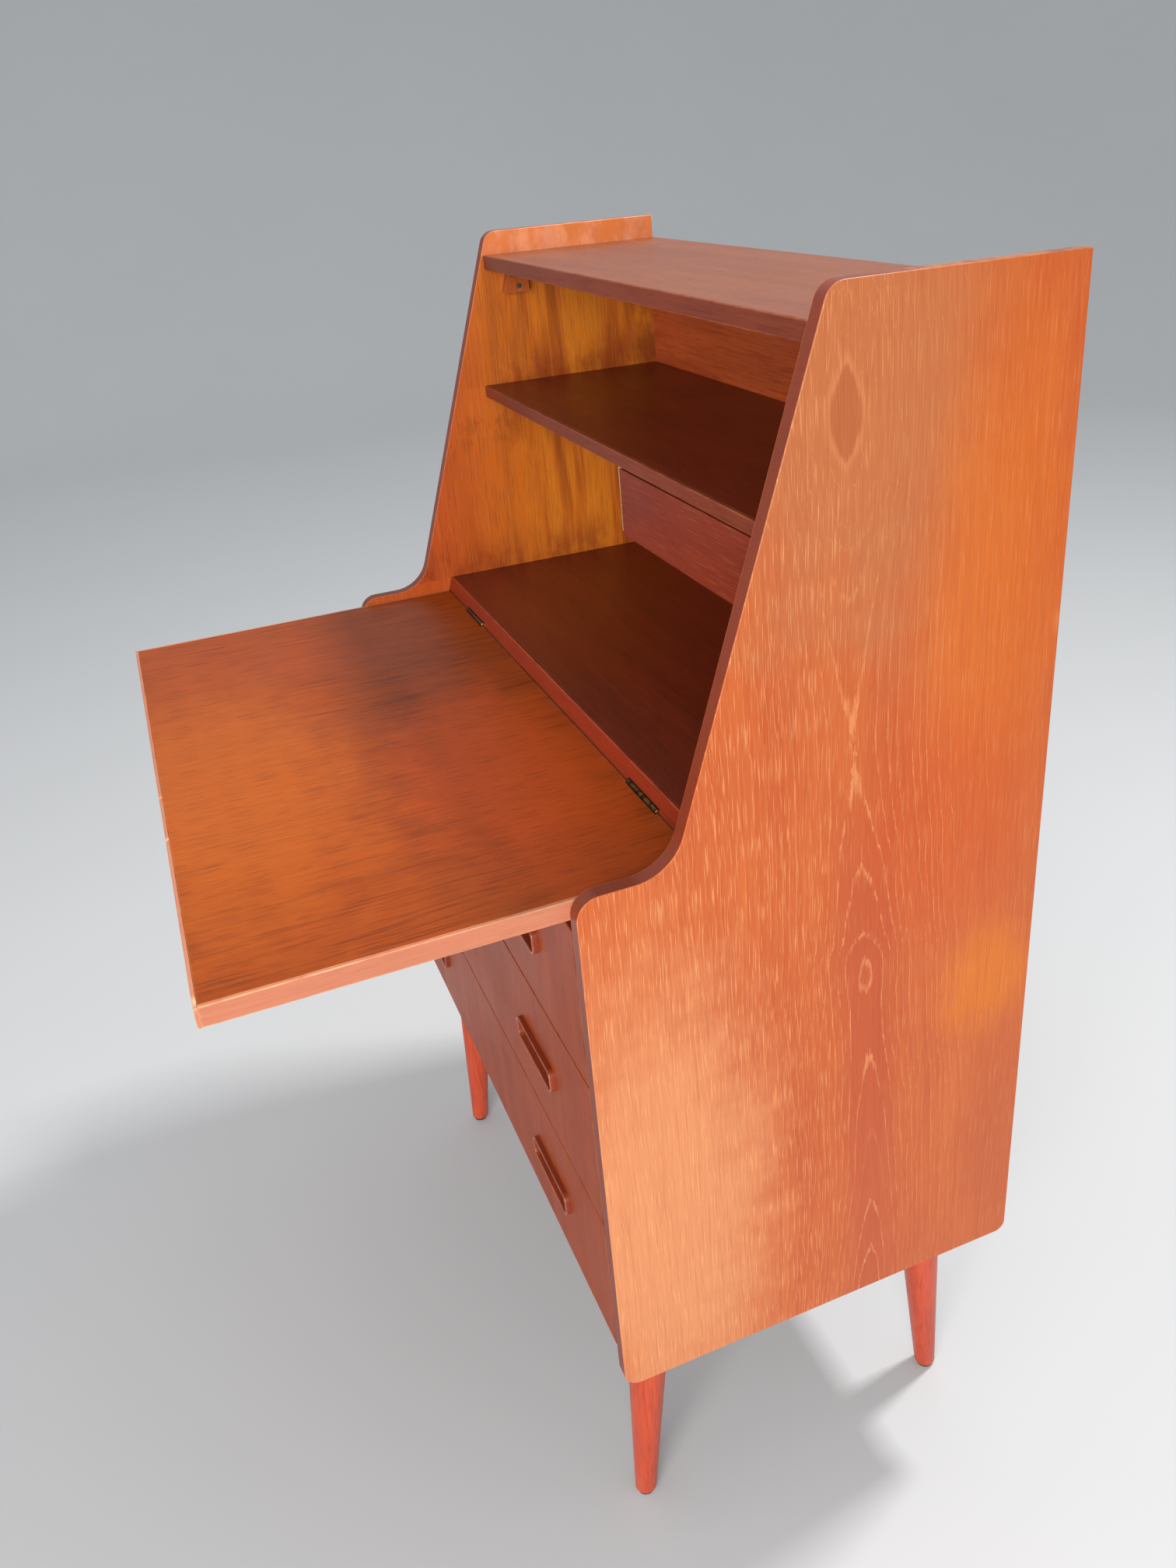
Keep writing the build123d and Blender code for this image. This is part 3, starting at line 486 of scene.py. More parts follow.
def bar_edges(points, pairs):
    """Edges of a straight board: both ends lie on the same two faces of its box."""
    low, high = points.min(0), points.max(0)
    first, second = points[pairs[:, 0]], points[pairs[:, 1]]
    on_low = (abs(first - low) < TOUCH) & (abs(second - low) < TOUCH)
    on_high = (abs(first - high) < TOUCH) & (abs(second - high) < TOUCH)
    return (on_low | on_high).sum(1) >= 2


def outline_edges(points, pairs):
    """Edges round the outline of a side panel's outer face."""
    outer = abs(points[:, 0]) > SIDE_OUT - TOUCH
    return outer[pairs[:, 0]] & outer[pairs[:, 1]]


def eased(name, radius, material, pick=bar_edges):
    """Board with rounded arrises: a merged copy of the CAD piece with a bevel on the picked edges."""
    mesh = bpy.data.meshes.new("eased_" + name)
    merged = bmesh.new()
    merged.from_mesh(NODES[name].data)
    bmesh.ops.remove_doubles(merged, verts=merged.verts, dist=1e-6)
    bmesh.ops.dissolve_limit(merged, angle_limit=math.radians(0.5), verts=merged.verts, edges=merged.edges)
    merged.to_mesh(mesh)
    merged.free()
    points = np.empty(len(mesh.vertices) * 3)
    mesh.vertices.foreach_get("co", points)
    pairs = np.empty(len(mesh.edges) * 2, int)
    mesh.edges.foreach_get("vertices", pairs)
    weight = mesh.attributes.new("bevel_weight_edge", "FLOAT", "EDGE")
    weight.data.foreach_set("value", pick(points.reshape(-1, 3), pairs.reshape(-1, 2)).astype(float))
    smooth(mesh)
    mesh.materials.clear()
    mesh.materials.append(material)
    piece = new_object("eased_" + name, mesh)
    bevel = piece.modifiers.new("Arris", "BEVEL")
    bevel.width, bevel.segments, bevel.limit_method = radius, 3, "WEIGHT"
    normals = piece.modifiers.new("Flat faces", "WEIGHTED_NORMAL")
    normals.weight = 100
    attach(piece, BODY[name])
    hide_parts(name)


# ------------------------------------------------------------------ side panels

PALE_CHIP = linear(238, 190, 150)
RING = 0.0072               # distance between growth lines
FIGURE_DEEP = 10.0 * RING   # depth of the heart under the face where the centre line reads 1
CORE_REACH = 0.5            # distance behind the drawer fronts where the core line reads 1
CENTRE_LINE = [(0.0, 0.20), (0.06, 0.30), (0.126, 0.40), (0.221, 0.50), (0.37, 0.615), (0.41, 0.585),
               (0.455, 0.70), (0.525, 0.80), (0.63, 0.90), (0.765, 0.80), (0.83, 0.58), (0.875, 0.30),
               (0.908, 0.235), (0.943, 0.30), (0.975, 0.50), (1.0, 0.62)]
CORE_LINE = [(0.0, 0.478), (0.22, 0.476), (0.40, 0.454), (0.53, 0.447), (0.70, 0.428), (0.90, 0.416),
             (1.0, 0.405)]
FIGURE_LOW, FIGURE_SPAN = 0.25, 0.87
SQUEEZE = 1.55
OVAL_Y, OVAL_Z, OVAL_WIDE, OVAL_TALL = 0.208, 1.041, 0.0125, 0.032
# Patches on the outer face, each a shade, a strength and an ellipse in grain coordinates: the wood's own
# tone, except the pale pink one low at the front, which is a painted sheen.
SIDE_PATCHES_AND_SHEEN = (
    ((176, 108, 66), 0.75, (0.220, 1.04, 0.130, 0.220)),
    ((204, 104, 22), 0.60, (0.335, 0.90, 0.075, 0.230)),
    ((190, 74, 18), 0.55, (0.300, 0.72, 0.085, 0.120)),
    ((176, 80, 36), 0.50, (0.375, 0.40, 0.060, 0.150)),
    # painted sheen: pale pink patch low at the front edge, standing for the floor's reflection
    ((216, 146, 98), 0.72, (0.050, 0.42, 0.120, 0.300)),
    ((208, 112, 18), 0.80, (0.345, 0.560, 0.050, 0.062)),
)


def outer_veneer(net, grain, y, z, wood, fibre, colors):
    """Colour of a side panel's outer face, with a painted sheen patch low at the front, and its mask of pale
    pores, partly painted sheen, and growth lines.

    The growth lines are circles of the distance to a heart that wanders along the core line and lies
    under the face at the depth of the centre line, which draws arches and closed ovals on the face.
    """
    tooth = net.stretched(y, z, TOOTH_GRAIN, 2.0, 3.0, 0.7)
    jagged = net.plus(z, net.swing(tooth, 0.026))
    drift = net.minus(net.stretched(y, z, DRIFT_GRAIN, 0.0, 3.0, 0.55), 0.5)
    rise = net.math("DIVIDE", net.minus(jagged, FIGURE_LOW), FIGURE_SPAN, clamp=True)
    depth = net.times(net.curve(rise, CENTRE_LINE), FIGURE_DEEP)
    core = net.times(net.curve(rise, CORE_LINE), CORE_REACH)
    aside = net.times(net.plus(net.minus(y, core), net.times(drift, 0.016)), SQUEEZE)
    radius = net.math("SQRT", net.plus(net.times(aside, aside), net.times(depth, depth)))
    rings = use(net, "rings", Grain=grain, Count=net.math("DIVIDE", radius, RING), Width=0.13)
    heart = net.times(net.step(net.math("ABSOLUTE", aside), 0.055, 0.010), net.step(z, 0.80, 0.66))

    oval_y = net.math("DIVIDE", net.minus(y, OVAL_Y), OVAL_WIDE)
    oval_z = net.math("DIVIDE", net.minus(z, OVAL_Z), OVAL_TALL)
    oval = net.plus(net.math("ABSOLUTE", oval_y), net.times(oval_z, oval_z))
    oval = net.plus(net.plus(oval, net.swing(tooth, 0.55)), net.times(drift, 0.6))
    oval_inside = net.step(oval, 1.05, 0.80)
    oval_rim = net.times(net.step(oval, 1.55, 1.05), net.step(oval, 0.80, 1.05))

    tone = net.plus(net.plus(net.swing(wood["Cloud"], 1.3), net.swing(wood["Bands"], 0.9)), 0.30)
    tone = net.plus(tone, net.times(rings["Tone"], 0.40), clamp=True)
    colour = net.blend(tone, colors.side, linear(176, 72, 26))
    colour = net.blend(net.times(heart, 0.55), colour, colors.side_deep)
    colour = stains_and_painted_light(net, grain, colour, SIDE_PATCHES_AND_SHEEN)
    colour = net.blend(net.times(oval_inside, 0.50), colour, linear(160, 82, 44))

    # Pale pores, at full strength towards the front edge: partly the veneer's pale pores, partly a painted
    # sheen where the front of the face catches the light.
    pores_and_front_sheen = net.times(wood["Pores"], net.step(y, 0.30, 0.12, 0.30, 1.0))
    quiet = net.minus(1.0, net.times(heart, 0.7))
    clear = net.times(net.step(z, 0.96, 0.80, 0.45, 1.0), net.step(y, 0.36, 0.28, 0.3, 1.0))
    pale = net.math("MAXIMUM", net.times(rings["Line"], clear, 0.55), net.times(pores_and_front_sheen, quiet, 0.50))
    pale = net.times(pale, net.minus(1.0, net.times(oval_inside, 0.8)))
    pale = net.math("MAXIMUM", pale, net.times(oval_rim, 0.16))
    colour = net.blend(pale, colour, colors.side_light)
    thin = net.times(wood["Lines"], net.step(wood["Fibre"], 0.45, 0.6), 0.22)
    colour = net.blend(thin, colour, colors.side_deep)
    return net.blend(net.plus(fibre, 0.12, clamp=True), colour, linear(140, 52, 20)), pale


def inner_veneer(net, y, z, wood, colors):
    """Colour of a side panel's inner face: golden, flamed, darker just above the boards, with painted shade
    under them and painted light and sheen above the top board.
    """
    flame = net.stretched(y, z, FLAME_GRAIN, 9.0, 3.0, 0.6, 0.3)
    blotch = net.stretched(y, z, BLOTCH_GRAIN, 5.0, 4.0, 0.65)
    colour = net.blend(net.step(y, 0.10, 0.22), linear(190, 84, 30), colors.gold)
    bright = net.times(net.step(y, 0.20, 0.26), net.step(flame, 0.58, 0.42))
    colour = net.blend(net.times(bright, 0.6), colour, linear(214, 132, 30))
    deepen = net.times(net.step(flame, 0.48, 0.66), net.step(y, 0.14, 0.27, 0.25, 1.0))
    colour = net.blend(net.times(deepen, 0.62), colour, colors.gold_dark)
    for board in ("middle_shelf", "deck_board"):
        under_side, upper_side = (corner.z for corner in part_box(board))
        over = net.minus(z, upper_side)
        near_board_top = net.times(net.step(over, 0.060, 0.0), net.math("GREATER_THAN", over, -0.001))
        near_board_top = net.times(near_board_top, net.step(blotch, 0.40, 0.62, 0.2, 1.0))
        colour = net.blend(net.times(near_board_top, 0.75), colour, linear(136, 50, 16))
        # Painted shade on the wall under each board, mottled.
        under = net.minus(under_side, z)
        shade = net.times(net.step(under, 0.10, 0.02), net.math("GREATER_THAN", under, -0.001))
        shade = net.times(shade, net.step(blotch, 0.52, 0.66))
        colour = net.blend(net.times(shade, 0.5), colour, linear(132, 52, 18))
    corner = net.times(net.step(y, 0.335, 0.372), net.step(blotch, 0.36, 0.60))
    light_fibre = net.step(wood["Fibre"], 0.5, 0.8)
    for mask, strength, tint in ((corner, 0.6, (120, 52, 18)), (wood["Lines"], 0.30, (150, 66, 18)),
                                 (wood["Pores"], 0.30, (110, 50, 14)), (light_fibre, 0.35, (226, 150, 56))):
        colour = net.blend(net.times(mask, strength), colour, linear(*tint))
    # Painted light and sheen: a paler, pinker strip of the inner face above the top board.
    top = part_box("top_board")[1].z
    above = net.step(z, top - 0.002, top)
    painted_light_above_top = net.blend(net.step(blotch, 0.42, 0.62), linear(206, 116, 66), linear(224, 148, 112))
    return net.blend(net.times(above, 0.75), colour, painted_light_above_top)


def side_material(colors):
    """Side panels: arched outer faces, golden inner faces and a plain rim."""
    material, net, shader, place = start_material("side_veneer")
    grain = grain_space(net, place, "Y", "Z", "X")
    split = net.split(grain)
    y, z = split["X"], split["Y"]
    wood = use(net, "streaks", Grain=grain, Seed=4.0)
    fibre = net.swing(wood["Fibre"], 0.55)
    outer, pale = outer_veneer(net, grain, y, z, wood, fibre, colors)
    inner = inner_veneer(net, y, z, wood, colors)
    spread = net.math("ABSOLUTE", net.split(place)["X"])
    outside = net.math("GREATER_THAN", spread, SIDE_OUT - SKIN)
    inside = net.math("LESS_THAN", spread, SIDE_IN + SKIN)
    rim_share = net.plus(net.times(wood["Bands"], 0.6), fibre, clamp=True)
    rim = net.blend(rim_share, linear(136, 54, 24), linear(92, 32, 14))
    colour = net.blend(inside, net.blend(outside, rim, outer), inner)
    # Paler arrises: partly rubbed finish, partly a painted highlight along the rim.
    edges = use(net, "wear_and_highlight", Place=place, Radius=0.0006)
    colour = net.blend(net.times(edges["Worn_and_highlit"], 0.4), colour, linear(226, 150, 88))
    height = net.plus(net.minus(wood["Fibre"], wood["Pores"]), net.times(pale, -0.8))
    finish(net, shader, place, colour, height, 0.40, bump=0.3, coat=0.06, gloss=0.35)
    return material


class DESK_OT_side_panels(bpy.types.Operator):
    """Veneer the two side panels"""
    bl_idname = "desk.side_panels"
    bl_label = "Side panels"

    def execute(self, context):
        wood = side_material(context.scene.desk_finish)
        for name in ("side_panel_left", "side_panel_right"):
            eased(name, context.scene.desk_shape.panel_ease, wood, outline_edges)
        return {"FINISHED"}


# ------------------------------------------------------------------ boards

class DESK_OT_boards(bpy.types.Operator):
    """Veneer the fixed boards, their edge strips and the back"""
    bl_idname = "desk.boards"
    bl_label = "Boards"

    def execute(self, context):
        colors = context.scene.desk_finish
        board = veneer("board_veneer", "YXZ", colors.board, colors.board_dark, linear(52, 18, 10), 2.0,
                       pores=0.35, rough=0.36, worn_and_highlit=linear(150, 84, 50), wear_and_highlight=0.5)
        assign(board, "middle_shelf", "deck_board", "ledge_board", "bottom_board")
        top = veneer("top_veneer", "YXZ", linear(140, 78, 48), linear(116, 54, 30), linear(96, 46, 26), 6.0,
                     pores=0.35, rough=0.40, worn_and_highlit=linear(170, 100, 60), wear_and_highlight=0.5, coat=0.0, gloss=0.3)
        assign(top, "top_board")
        strip = veneer("edge_strip", "YXZ", linear(132, 60, 36), linear(98, 38, 22), linear(84, 34, 20), 3.0,
                       pores=0.25, rough=0.42, worn_and_highlit=linear(196, 120, 72), wear_and_highlight=0.6, coat=0.0, gloss=0.15)
        nose = veneer("nose_strip", "YXZ", linear(150, 50, 22), linear(112, 34, 16), linear(92, 28, 14), 3.5,
                      pores=0.25, rough=0.42, worn_and_highlit=linear(190, 96, 52), wear_and_highlight=0.3, coat=0.0, gloss=0.15)
        for name, wood in (("top_edge_strip", strip), ("shelf_edge_strip", strip), ("deck_nose_strip", nose)):
            eased(name, context.scene.desk_shape.strip_ease, wood)
        rear_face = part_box("back_panel")[1].y - 0.0005
        back = veneer("back_veneer", "ZXY", colors.back, linear(150, 60, 26), linear(120, 48, 20), 5.0,
                      pores=0.3, rough=0.5, outside=(rear_face, linear(150, 106, 70)))
        assign(back, "back_panel")
        block = veneer("stop_block_wood", "YZX", linear(184, 92, 34), linear(140, 62, 22),
                       linear(110, 46, 18), 8.0, rough=0.45, worn_and_highlit=linear(214, 140, 84), wear_and_highlight=0.6)
        assign(block, "stop_blocks")
        return {"FINISHED"}


# ------------------------------------------------------------------ flap

STRIP_SHADES = (linear(194, 122, 92), linear(170, 96, 70), linear(146, 78, 56))
STRIP_LOOK = {"lines": 0.1, "pores": 0.2, "rough": 0.5, "worn_and_highlit": linear(232, 180, 132), "coat": 0.0}
# Painted light and shade on the writing surface, each a shade, a strength and an ellipse in grain
# coordinates: a paler golden patch over the lit front part, a darker patch at the left end, a redder,
# brighter band near the hinge where the upper body's shadow falls, and a darker spot at that band's right
# end.
FLAP_LIGHT_AND_SHADE = (
    ((186, 92, 20), 0.6, (0.05, -0.20, 0.30, 0.13)),
    ((150, 62, 22), 0.3, (-0.22, -0.12, 0.09, 0.20)),
    ((206, 80, 18), 0.65, (0.14, 0.02, 0.24, 0.10)),
    ((140, 54, 16), 0.3, (0.30, 0.04, 0.07, 0.05)),
)
END_EASE = 0.25             # share of the strip's rounding that its ends get
OUTLINE_STEP = 0.0012       # longest segment in the strip's outline
NICK_REACH = 0.0022         # how far a nick reaches from the arris
CHIP_DEEP, CHIP_MOST = 0.0010, 0.8
# Share of the length, depth and half width
NICKS = ((0.990, 0.0014, 0.0045), (0.660, 0.0009, 0.0020), (0.548, 0.0007, 0.0014), (0.012, 0.0006, 0.0018))


def split_sides(across, along, step):
    """Closed outline with every segment longer than the step cut into equal parts no longer than it."""
    points = np.stack((across, along), -1)
    pieces = []
    for start, end in zip(points, np.roll(points, -1, 0)):
        parts = max(1, int(np.ceil(np.linalg.norm(end - start) / step)))
        pieces.append(start + (end - start) * np.arange(parts)[:, None] / parts)
    return np.concatenate(pieces).T


def front_strip(sizes, material):
    """Front edge strip: a rounded bar along X whose upper front arris is pushed in by small round nicks.

    The push falls off as a bell curve along X and away from the arris. The rings lie closer together at
    the nicks and at the ends.
    """
    low, high = (np.array(corner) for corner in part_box("flap_edge_strip_front"))
    ease = sizes.strip_ease
    half, middle = (high - low) / 2, (high + low) / 2
    y, z = rounded_rectangle(half[1], half[2], ease, [0.0], points=7)
    y, z = split_sides(y[0] + middle[1], z[0] + middle[2], OUTLINE_STEP)
    spot, depth, width = (np.array(column)[:, None] for column in zip(*NICKS))
    centre = low[0] + spot * 2 * half[0]
    at_nicks = (centre + width * np.linspace(-3.0, 3.0, 31)).ravel()
    at_end = np.linspace(0.0, ease, 9)
    x = np.concatenate((np.linspace(low[0], high[0], 61), at_nicks, low[0] + at_end, high[0] - at_end))
    x = np.unique(np.clip(x, low[0], high[0]).round(7))
    push = (depth * np.exp(-((x - centre) / width) ** 2)).sum(0)
    near = np.exp(-((y - low[1]) ** 2 + (z - high[2]) ** 2) / NICK_REACH ** 2)
    shift = push[:, None] * near
    short = np.maximum(ease - np.minimum(x - low[0], high[0] - x)[:, None], 0.0)
    tuck = (ease - np.sqrt(np.maximum(ease ** 2 - short ** 2, 0.0))) * END_EASE
    rings = np.stack((np.repeat(x[:, None], y.size, 1), y + shift - tuck * np.sign(y - y.mean()),
                      z - shift - tuck * np.sign(z - z.mean())), -1)
    piece = ring_mesh("flap_front_strip", rings[None], material, "flap", ("flap_edge_strip_front",))
    chip = piece.data.attributes.new("chip", "FLOAT", "POINT")
    chip.data.foreach_set("value", np.clip(shift / CHIP_DEEP, 0.0, CHIP_MOST).ravel())


class DESK_OT_flap(bpy.types.Operator):
    """Veneer the flap and its edge strips"""
    bl_idname = "desk.flap"
    bl_label = "Flap"

    def execute(self, context):
        colors = context.scene.desk_finish
        panel = veneer("flap_veneer", "XYZ", colors.flap, colors.flap_dark, linear(112, 48, 14), 11.0,
                       bands=0.14, lines=0.50, pores=0.55, rough=0.42, worn_and_highlit=linear(214, 150, 90), wear_and_highlight=0.3,
                       coat=0.0, gloss=0.16, patches=FLAP_LIGHT_AND_SHADE)
        assign(panel, "flap_panel")
        sizes = context.scene.desk_shape
        front_strip(sizes, veneer("flap_strip", "YXZ", *STRIP_SHADES, 12.0, chipped=True, **STRIP_LOOK))
        strip = veneer("flap_side_strip", "XYZ", *STRIP_SHADES, 13.0, wear_and_highlight=0.6, **STRIP_LOOK)
        for side in ("left", "right"):
            eased("flap_edge_strip_" + side, sizes.strip_ease, strip)
        return {"FINISHED"}


# ------------------------------------------------------------------ drawers

PALE_SHADES = (linear(160, 118, 76), linear(128, 92, 58))
PALE_LOOK = {"pores": 0.3, "rough": 0.6, "worn_and_highlit": linear(214, 180, 138), "wear_and_highlight": 0.4}


class DESK_OT_drawers(bpy.types.Operator):
    """Veneer the drawer fronts and finish the drawer boxes"""
    bl_idname = "desk.drawers"
    bl_label = "Drawers"

    def execute(self, context):
        colors = context.scene.desk_finish
        front = veneer("front_veneer", "XZY", colors.front, colors.front_dark, linear(96, 38, 22), 15.0,
                       pores=0.35, rough=0.42, worn_and_highlit=linear(190, 116, 74), wear_and_highlight=0.5, coat=0.0, gloss=0.15)
        ease = context.scene.desk_shape.strip_ease
        for number in DRAWERS:
            eased(f"drawer_{number}_front", ease, front)
        small = veneer("small_front_veneer", "ZXY", linear(134, 50, 28), linear(98, 32, 18),
                       linear(160, 84, 54), 16.0, pores=0.35, rough=0.42, worn_and_highlit=linear(150, 74, 46), wear_and_highlight=0.3,
                       coat=0.0, gloss=0.15)
        eased("small_drawer_front", ease, small)
        box = veneer("box_wood", "ZYX", colors.pale, *PALE_SHADES, 18.0, **PALE_LOOK)
        assign(box, *[f"drawer_{number}_sides" for number in DRAWERS], "small_drawer_sides",
               "drawer_runners", "small_drawer_runners", "small_drawer_hanger")
        crosswise = veneer("cross_wood", "ZXY", colors.pale, *PALE_SHADES, 19.0, **PALE_LOOK)
        assign(crosswise, *[f"drawer_{number}_back" for number in DRAWERS], "small_drawer_back",
               "deck_rear_spacer", "carcass_dowels")
        rail = veneer("rail_wood", "ZXY", linear(132, 66, 40), linear(100, 44, 26), linear(84, 36, 22), 20.0,
                      pores=0.3, rough=0.45)
        assign(rail, "hinge_rail")
        thin = veneer("drawer_bottom_wood", "YXZ", linear(176, 132, 88), linear(150, 106, 66),
                      linear(122, 84, 52), 21.0, pores=0.2, rough=0.65)
        assign(thin, *[f"drawer_{number}_bottom" for number in DRAWERS], "small_drawer_bottom")
        return {"FINISHED"}


PULL_COVE = 0.0030          # radius between a pull's wall and its floor
PULL_FLOOR = 0.0020         # thickness of the floor
PULL_FOOT = 0.0006          # chamfer on the buried edge
LEAST_CORNER = 0.0012


def pull_profile(sizes, out, deep):
    """Inset and height of each ring: up the outer wall, over a round rim, down to a coved floor."""
    wall, cove, foot = sizes.pull_wall, PULL_COVE, PULL_FOOT
    floor = -deep + PULL_FLOOR
    turn = np.linspace(0.0, math.pi, 13)
    half = wall / 2
    rim = np.stack((half - half * np.cos(turn), out - half + half * np.sin(turn)), 1)
    swing = np.linspace(0.0, math.pi / 2, 9)
    bowl = np.stack((wall + cove - cove * np.cos(swing), floor + cove - cove * np.sin(swing)), 1)
    return np.concatenate(([[foot, -deep], [0.0, -deep + foot], [0.0, 0.0]], rim, bowl,
                           [[wall + cove + 0.0015, floor - 0.0002]]))


def pull_shape(sizes, out, deep, half_height):
    """Two coordinates in the plane of the board and the height above it, for every ring of a pull."""
    profile = pull_profile(sizes, out, deep)
    u, v = rounded_rectangle(sizes.pull_length / 2, half_height, sizes.pull_corner, profile[:, 0])
    return u, v, np.repeat(profile[:, 1:], u.shape[1], 1)


def rounded_rectangle(half_length, half_height, corner, inset, points=18):
    """Outline of a rectangle with round corners, moved inwards by each inset: four arcs, joined by lines."""
    inset = np.asarray(inset)[:, None]
    radius = np.maximum(corner - inset, LEAST_CORNER)
    angle = np.linspace(0.0, math.pi / 2, points)
    u, v = [], []
    for quarter, (sx, sy) in enumerate(((1, 1), (-1, 1), (-1, -1), (1, -1))):
        bend = angle + quarter * math.pi / 2
        u.append(sx * (half_length - inset - radius) + radius * np.cos(bend))
        v.append(sy * (half_height - inset - radius) + radius * np.sin(bend))
    return np.concatenate(u, 1), np.concatenate(v, 1)


class DESK_OT_pulls(bpy.types.Operator):
    """Shape and finish the recessed pulls"""
    bl_idname = "desk.pulls"
    bl_label = "Pulls"

    def execute(self, context):
        colors, sizes = context.scene.desk_finish, context.scene.desk_shape
        wood = veneer("pull_wood", "ZXY", colors.pull, linear(96, 34, 20), linear(80, 28, 16), 25.0,
                      pores=0.3, rough=0.26, worn_and_highlit=linear(206, 128, 84), wear_and_highlight=0.8, coat=0.4, gloss=0.5)
        for number in DRAWERS:
            node = f"drawer_{number}_pulls"
            low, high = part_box(node)
            u, v, height = pull_shape(sizes, FRONT_Y - low.y, high.y - FRONT_Y, (high.z - low.z) / 2)
            aside = high.x - sizes.pull_length / 2
            rings = np.stack([np.stack((u + side * aside, FRONT_Y - height, v + (low.z + high.z) / 2), -1)
                              for side in (-1, 1)])
            ring_mesh(f"drawer_{number}_pull_cups", rings, wood, f"drawer_{number}", (node,))
        low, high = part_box("flap_pull")
        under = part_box("flap_panel")[0].z
        u, v, height = pull_shape(sizes, under - low.z, high.z - under, (high.y - low.y) / 2)
        rings = np.stack((u, (low.y + high.y) / 2 - v, under - height), -1)[None]
        ring_mesh("flap_pull_cup", rings, wood, "flap", ("flap_pull",))
        return {"FINISHED"}


LEG_SIDES = 72
LEG_RINGS = 24
LEG_START = 0.02            # height of the first ring above the rounded foot


class DESK_OT_legs(bpy.types.Operator):
    """Turn and finish the legs"""
    bl_idname = "desk.legs"
    bl_label = "Legs"

    def execute(self, context):
        colors, sizes = context.scene.desk_finish, context.scene.desk_shape
        wood = veneer("leg_wood", "XZY", colors.leg, linear(150, 44, 24), linear(120, 34, 20), 31.0,
                      bands=0.3, pores=0.25, rough=0.36, worn_and_highlit=linear(220, 130, 86), wear_and_highlight=0.3, gloss=0.35)
        around = np.linspace(0.0, 2 * math.pi, LEG_SIDES, endpoint=False)
        bend = np.linspace(math.pi / 2, 0.0, 7)
        foot_up = sizes.leg_ease * (1 - np.sin(bend))
        shrink = np.concatenate((sizes.leg_ease * (1 - np.cos(bend)), np.zeros(LEG_RINGS)))[:, None]
        for name in ("front_left", "front_right", "rear_left", "rear_right"):
            low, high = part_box("leg_" + name)
            tall = high.z - low.z
            top_radius, foot_radius = (high.x - low.x) / 2, sizes.foot_radius
            front = name.startswith("front")
            foot_y = low.y + foot_radius if front else high.y - foot_radius
            top_y = high.y - top_radius if front else low.y + top_radius
            up = np.concatenate((foot_up, np.linspace(LEG_START, tall, LEG_RINGS)))
            share = up[:, None] / tall
            radius = foot_radius + (top_radius - foot_radius) * share - shrink
            x = (low.x + high.x) / 2 + radius * np.cos(around)
            y = foot_y + (top_y - foot_y) * share + radius * np.sin(around)
            z = np.repeat((low.z + up)[:, None], around.size, 1)
            ring_mesh("turned_leg_" + name, np.stack((x, y, z), -1)[None], wood, "carcass", ("leg_" + name,))
        return {"FINISHED"}


# ------------------------------------------------------------------ metal and plastic

def metal(name, shade, dull, rough):
    """Rubbed metal: tarnish in soft clouds, bright at the edges where it is rubbed."""
    material, net, shader, place = start_material(name)
    tarnish = net.step(net.noise(place, 180.0, 4.0, 0.65), 0.35, 0.65)
    edges = use(net, "wear_and_highlight", Place=place, Radius=0.0004)
    share = net.minus(tarnish, net.times(edges["Edge"], 0.8), clamp=True)
    net.put(shader.inputs["Base Color"], net.blend(share, shade, dull))
    shader.inputs["Metallic"].default_value = 1.0
    net.put(shader.inputs["Roughness"], net.plus(rough, net.times(tarnish, 0.25)))
    pitted = net.noise(place, 900.0, 3.0, 0.6)
    relief = net.add("Bump", {"Strength": 0.2, "Distance": 0.0002, "Height": pitted})
    net.put(shader.inputs["Normal"], relief.outputs["Normal"])
    return material


class DESK_OT_metal(bpy.types.Operator):
    """Finish hinges, screws, plates, bolts and glides"""
    bl_idname = "desk.metal"
    bl_label = "Metal"

    def execute(self, context):
        colors = context.scene.desk_finish
        assign(metal("hinge_brass", colors.brass, linear(46, 30, 20), 0.34), "hinge_leaves_fixed",
               "hinge_leaves_flap", "hinge_leaf_screws_fixed", "hinge_leaf_screws_flap")
        assign(metal("pin_brass", linear(214, 178, 104), linear(150, 112, 60), 0.2), "hinge_pins")
        assign(metal("screw_steel", colors.steel, linear(82, 76, 70), 0.36), "back_panel_screws",
               "stop_block_screws", "drawer_runner_screws", "leg_plate_screws", "leg_bolts", "leg_plates")
        material, net, shader, place = start_material("glide_plastic")
        grime = net.noise(place, 300.0, 3.0, 0.6)
        net.put(shader.inputs["Base Color"], net.blend(grime, linear(34, 30, 28), linear(72, 66, 60)))
        net.put(shader.inputs["Roughness"], net.plus(0.45, net.times(grime, 0.3)))
        assign(material, "leg_glides")
        return {"FINISHED"}


# ------------------------------------------------------------------ stage

SENSOR_WIDTH = 36.0
LENS_SHIFT = (-0.0254, -0.0197)
SKY_TINT = (0.93, 0.95, 0.97)
SIDE_PLACE, SIDE_TARGET, SIDE_SIZE = (2.4, -1.5, 1.4), (0.0, 0.1, 0.7), 1.8
REAR_TARGET, REAR_SIZE = (0.0, -0.13, 0.74), 0.35
REAR_FAR, REAR_UP = 3.2, math.radians(55.0)


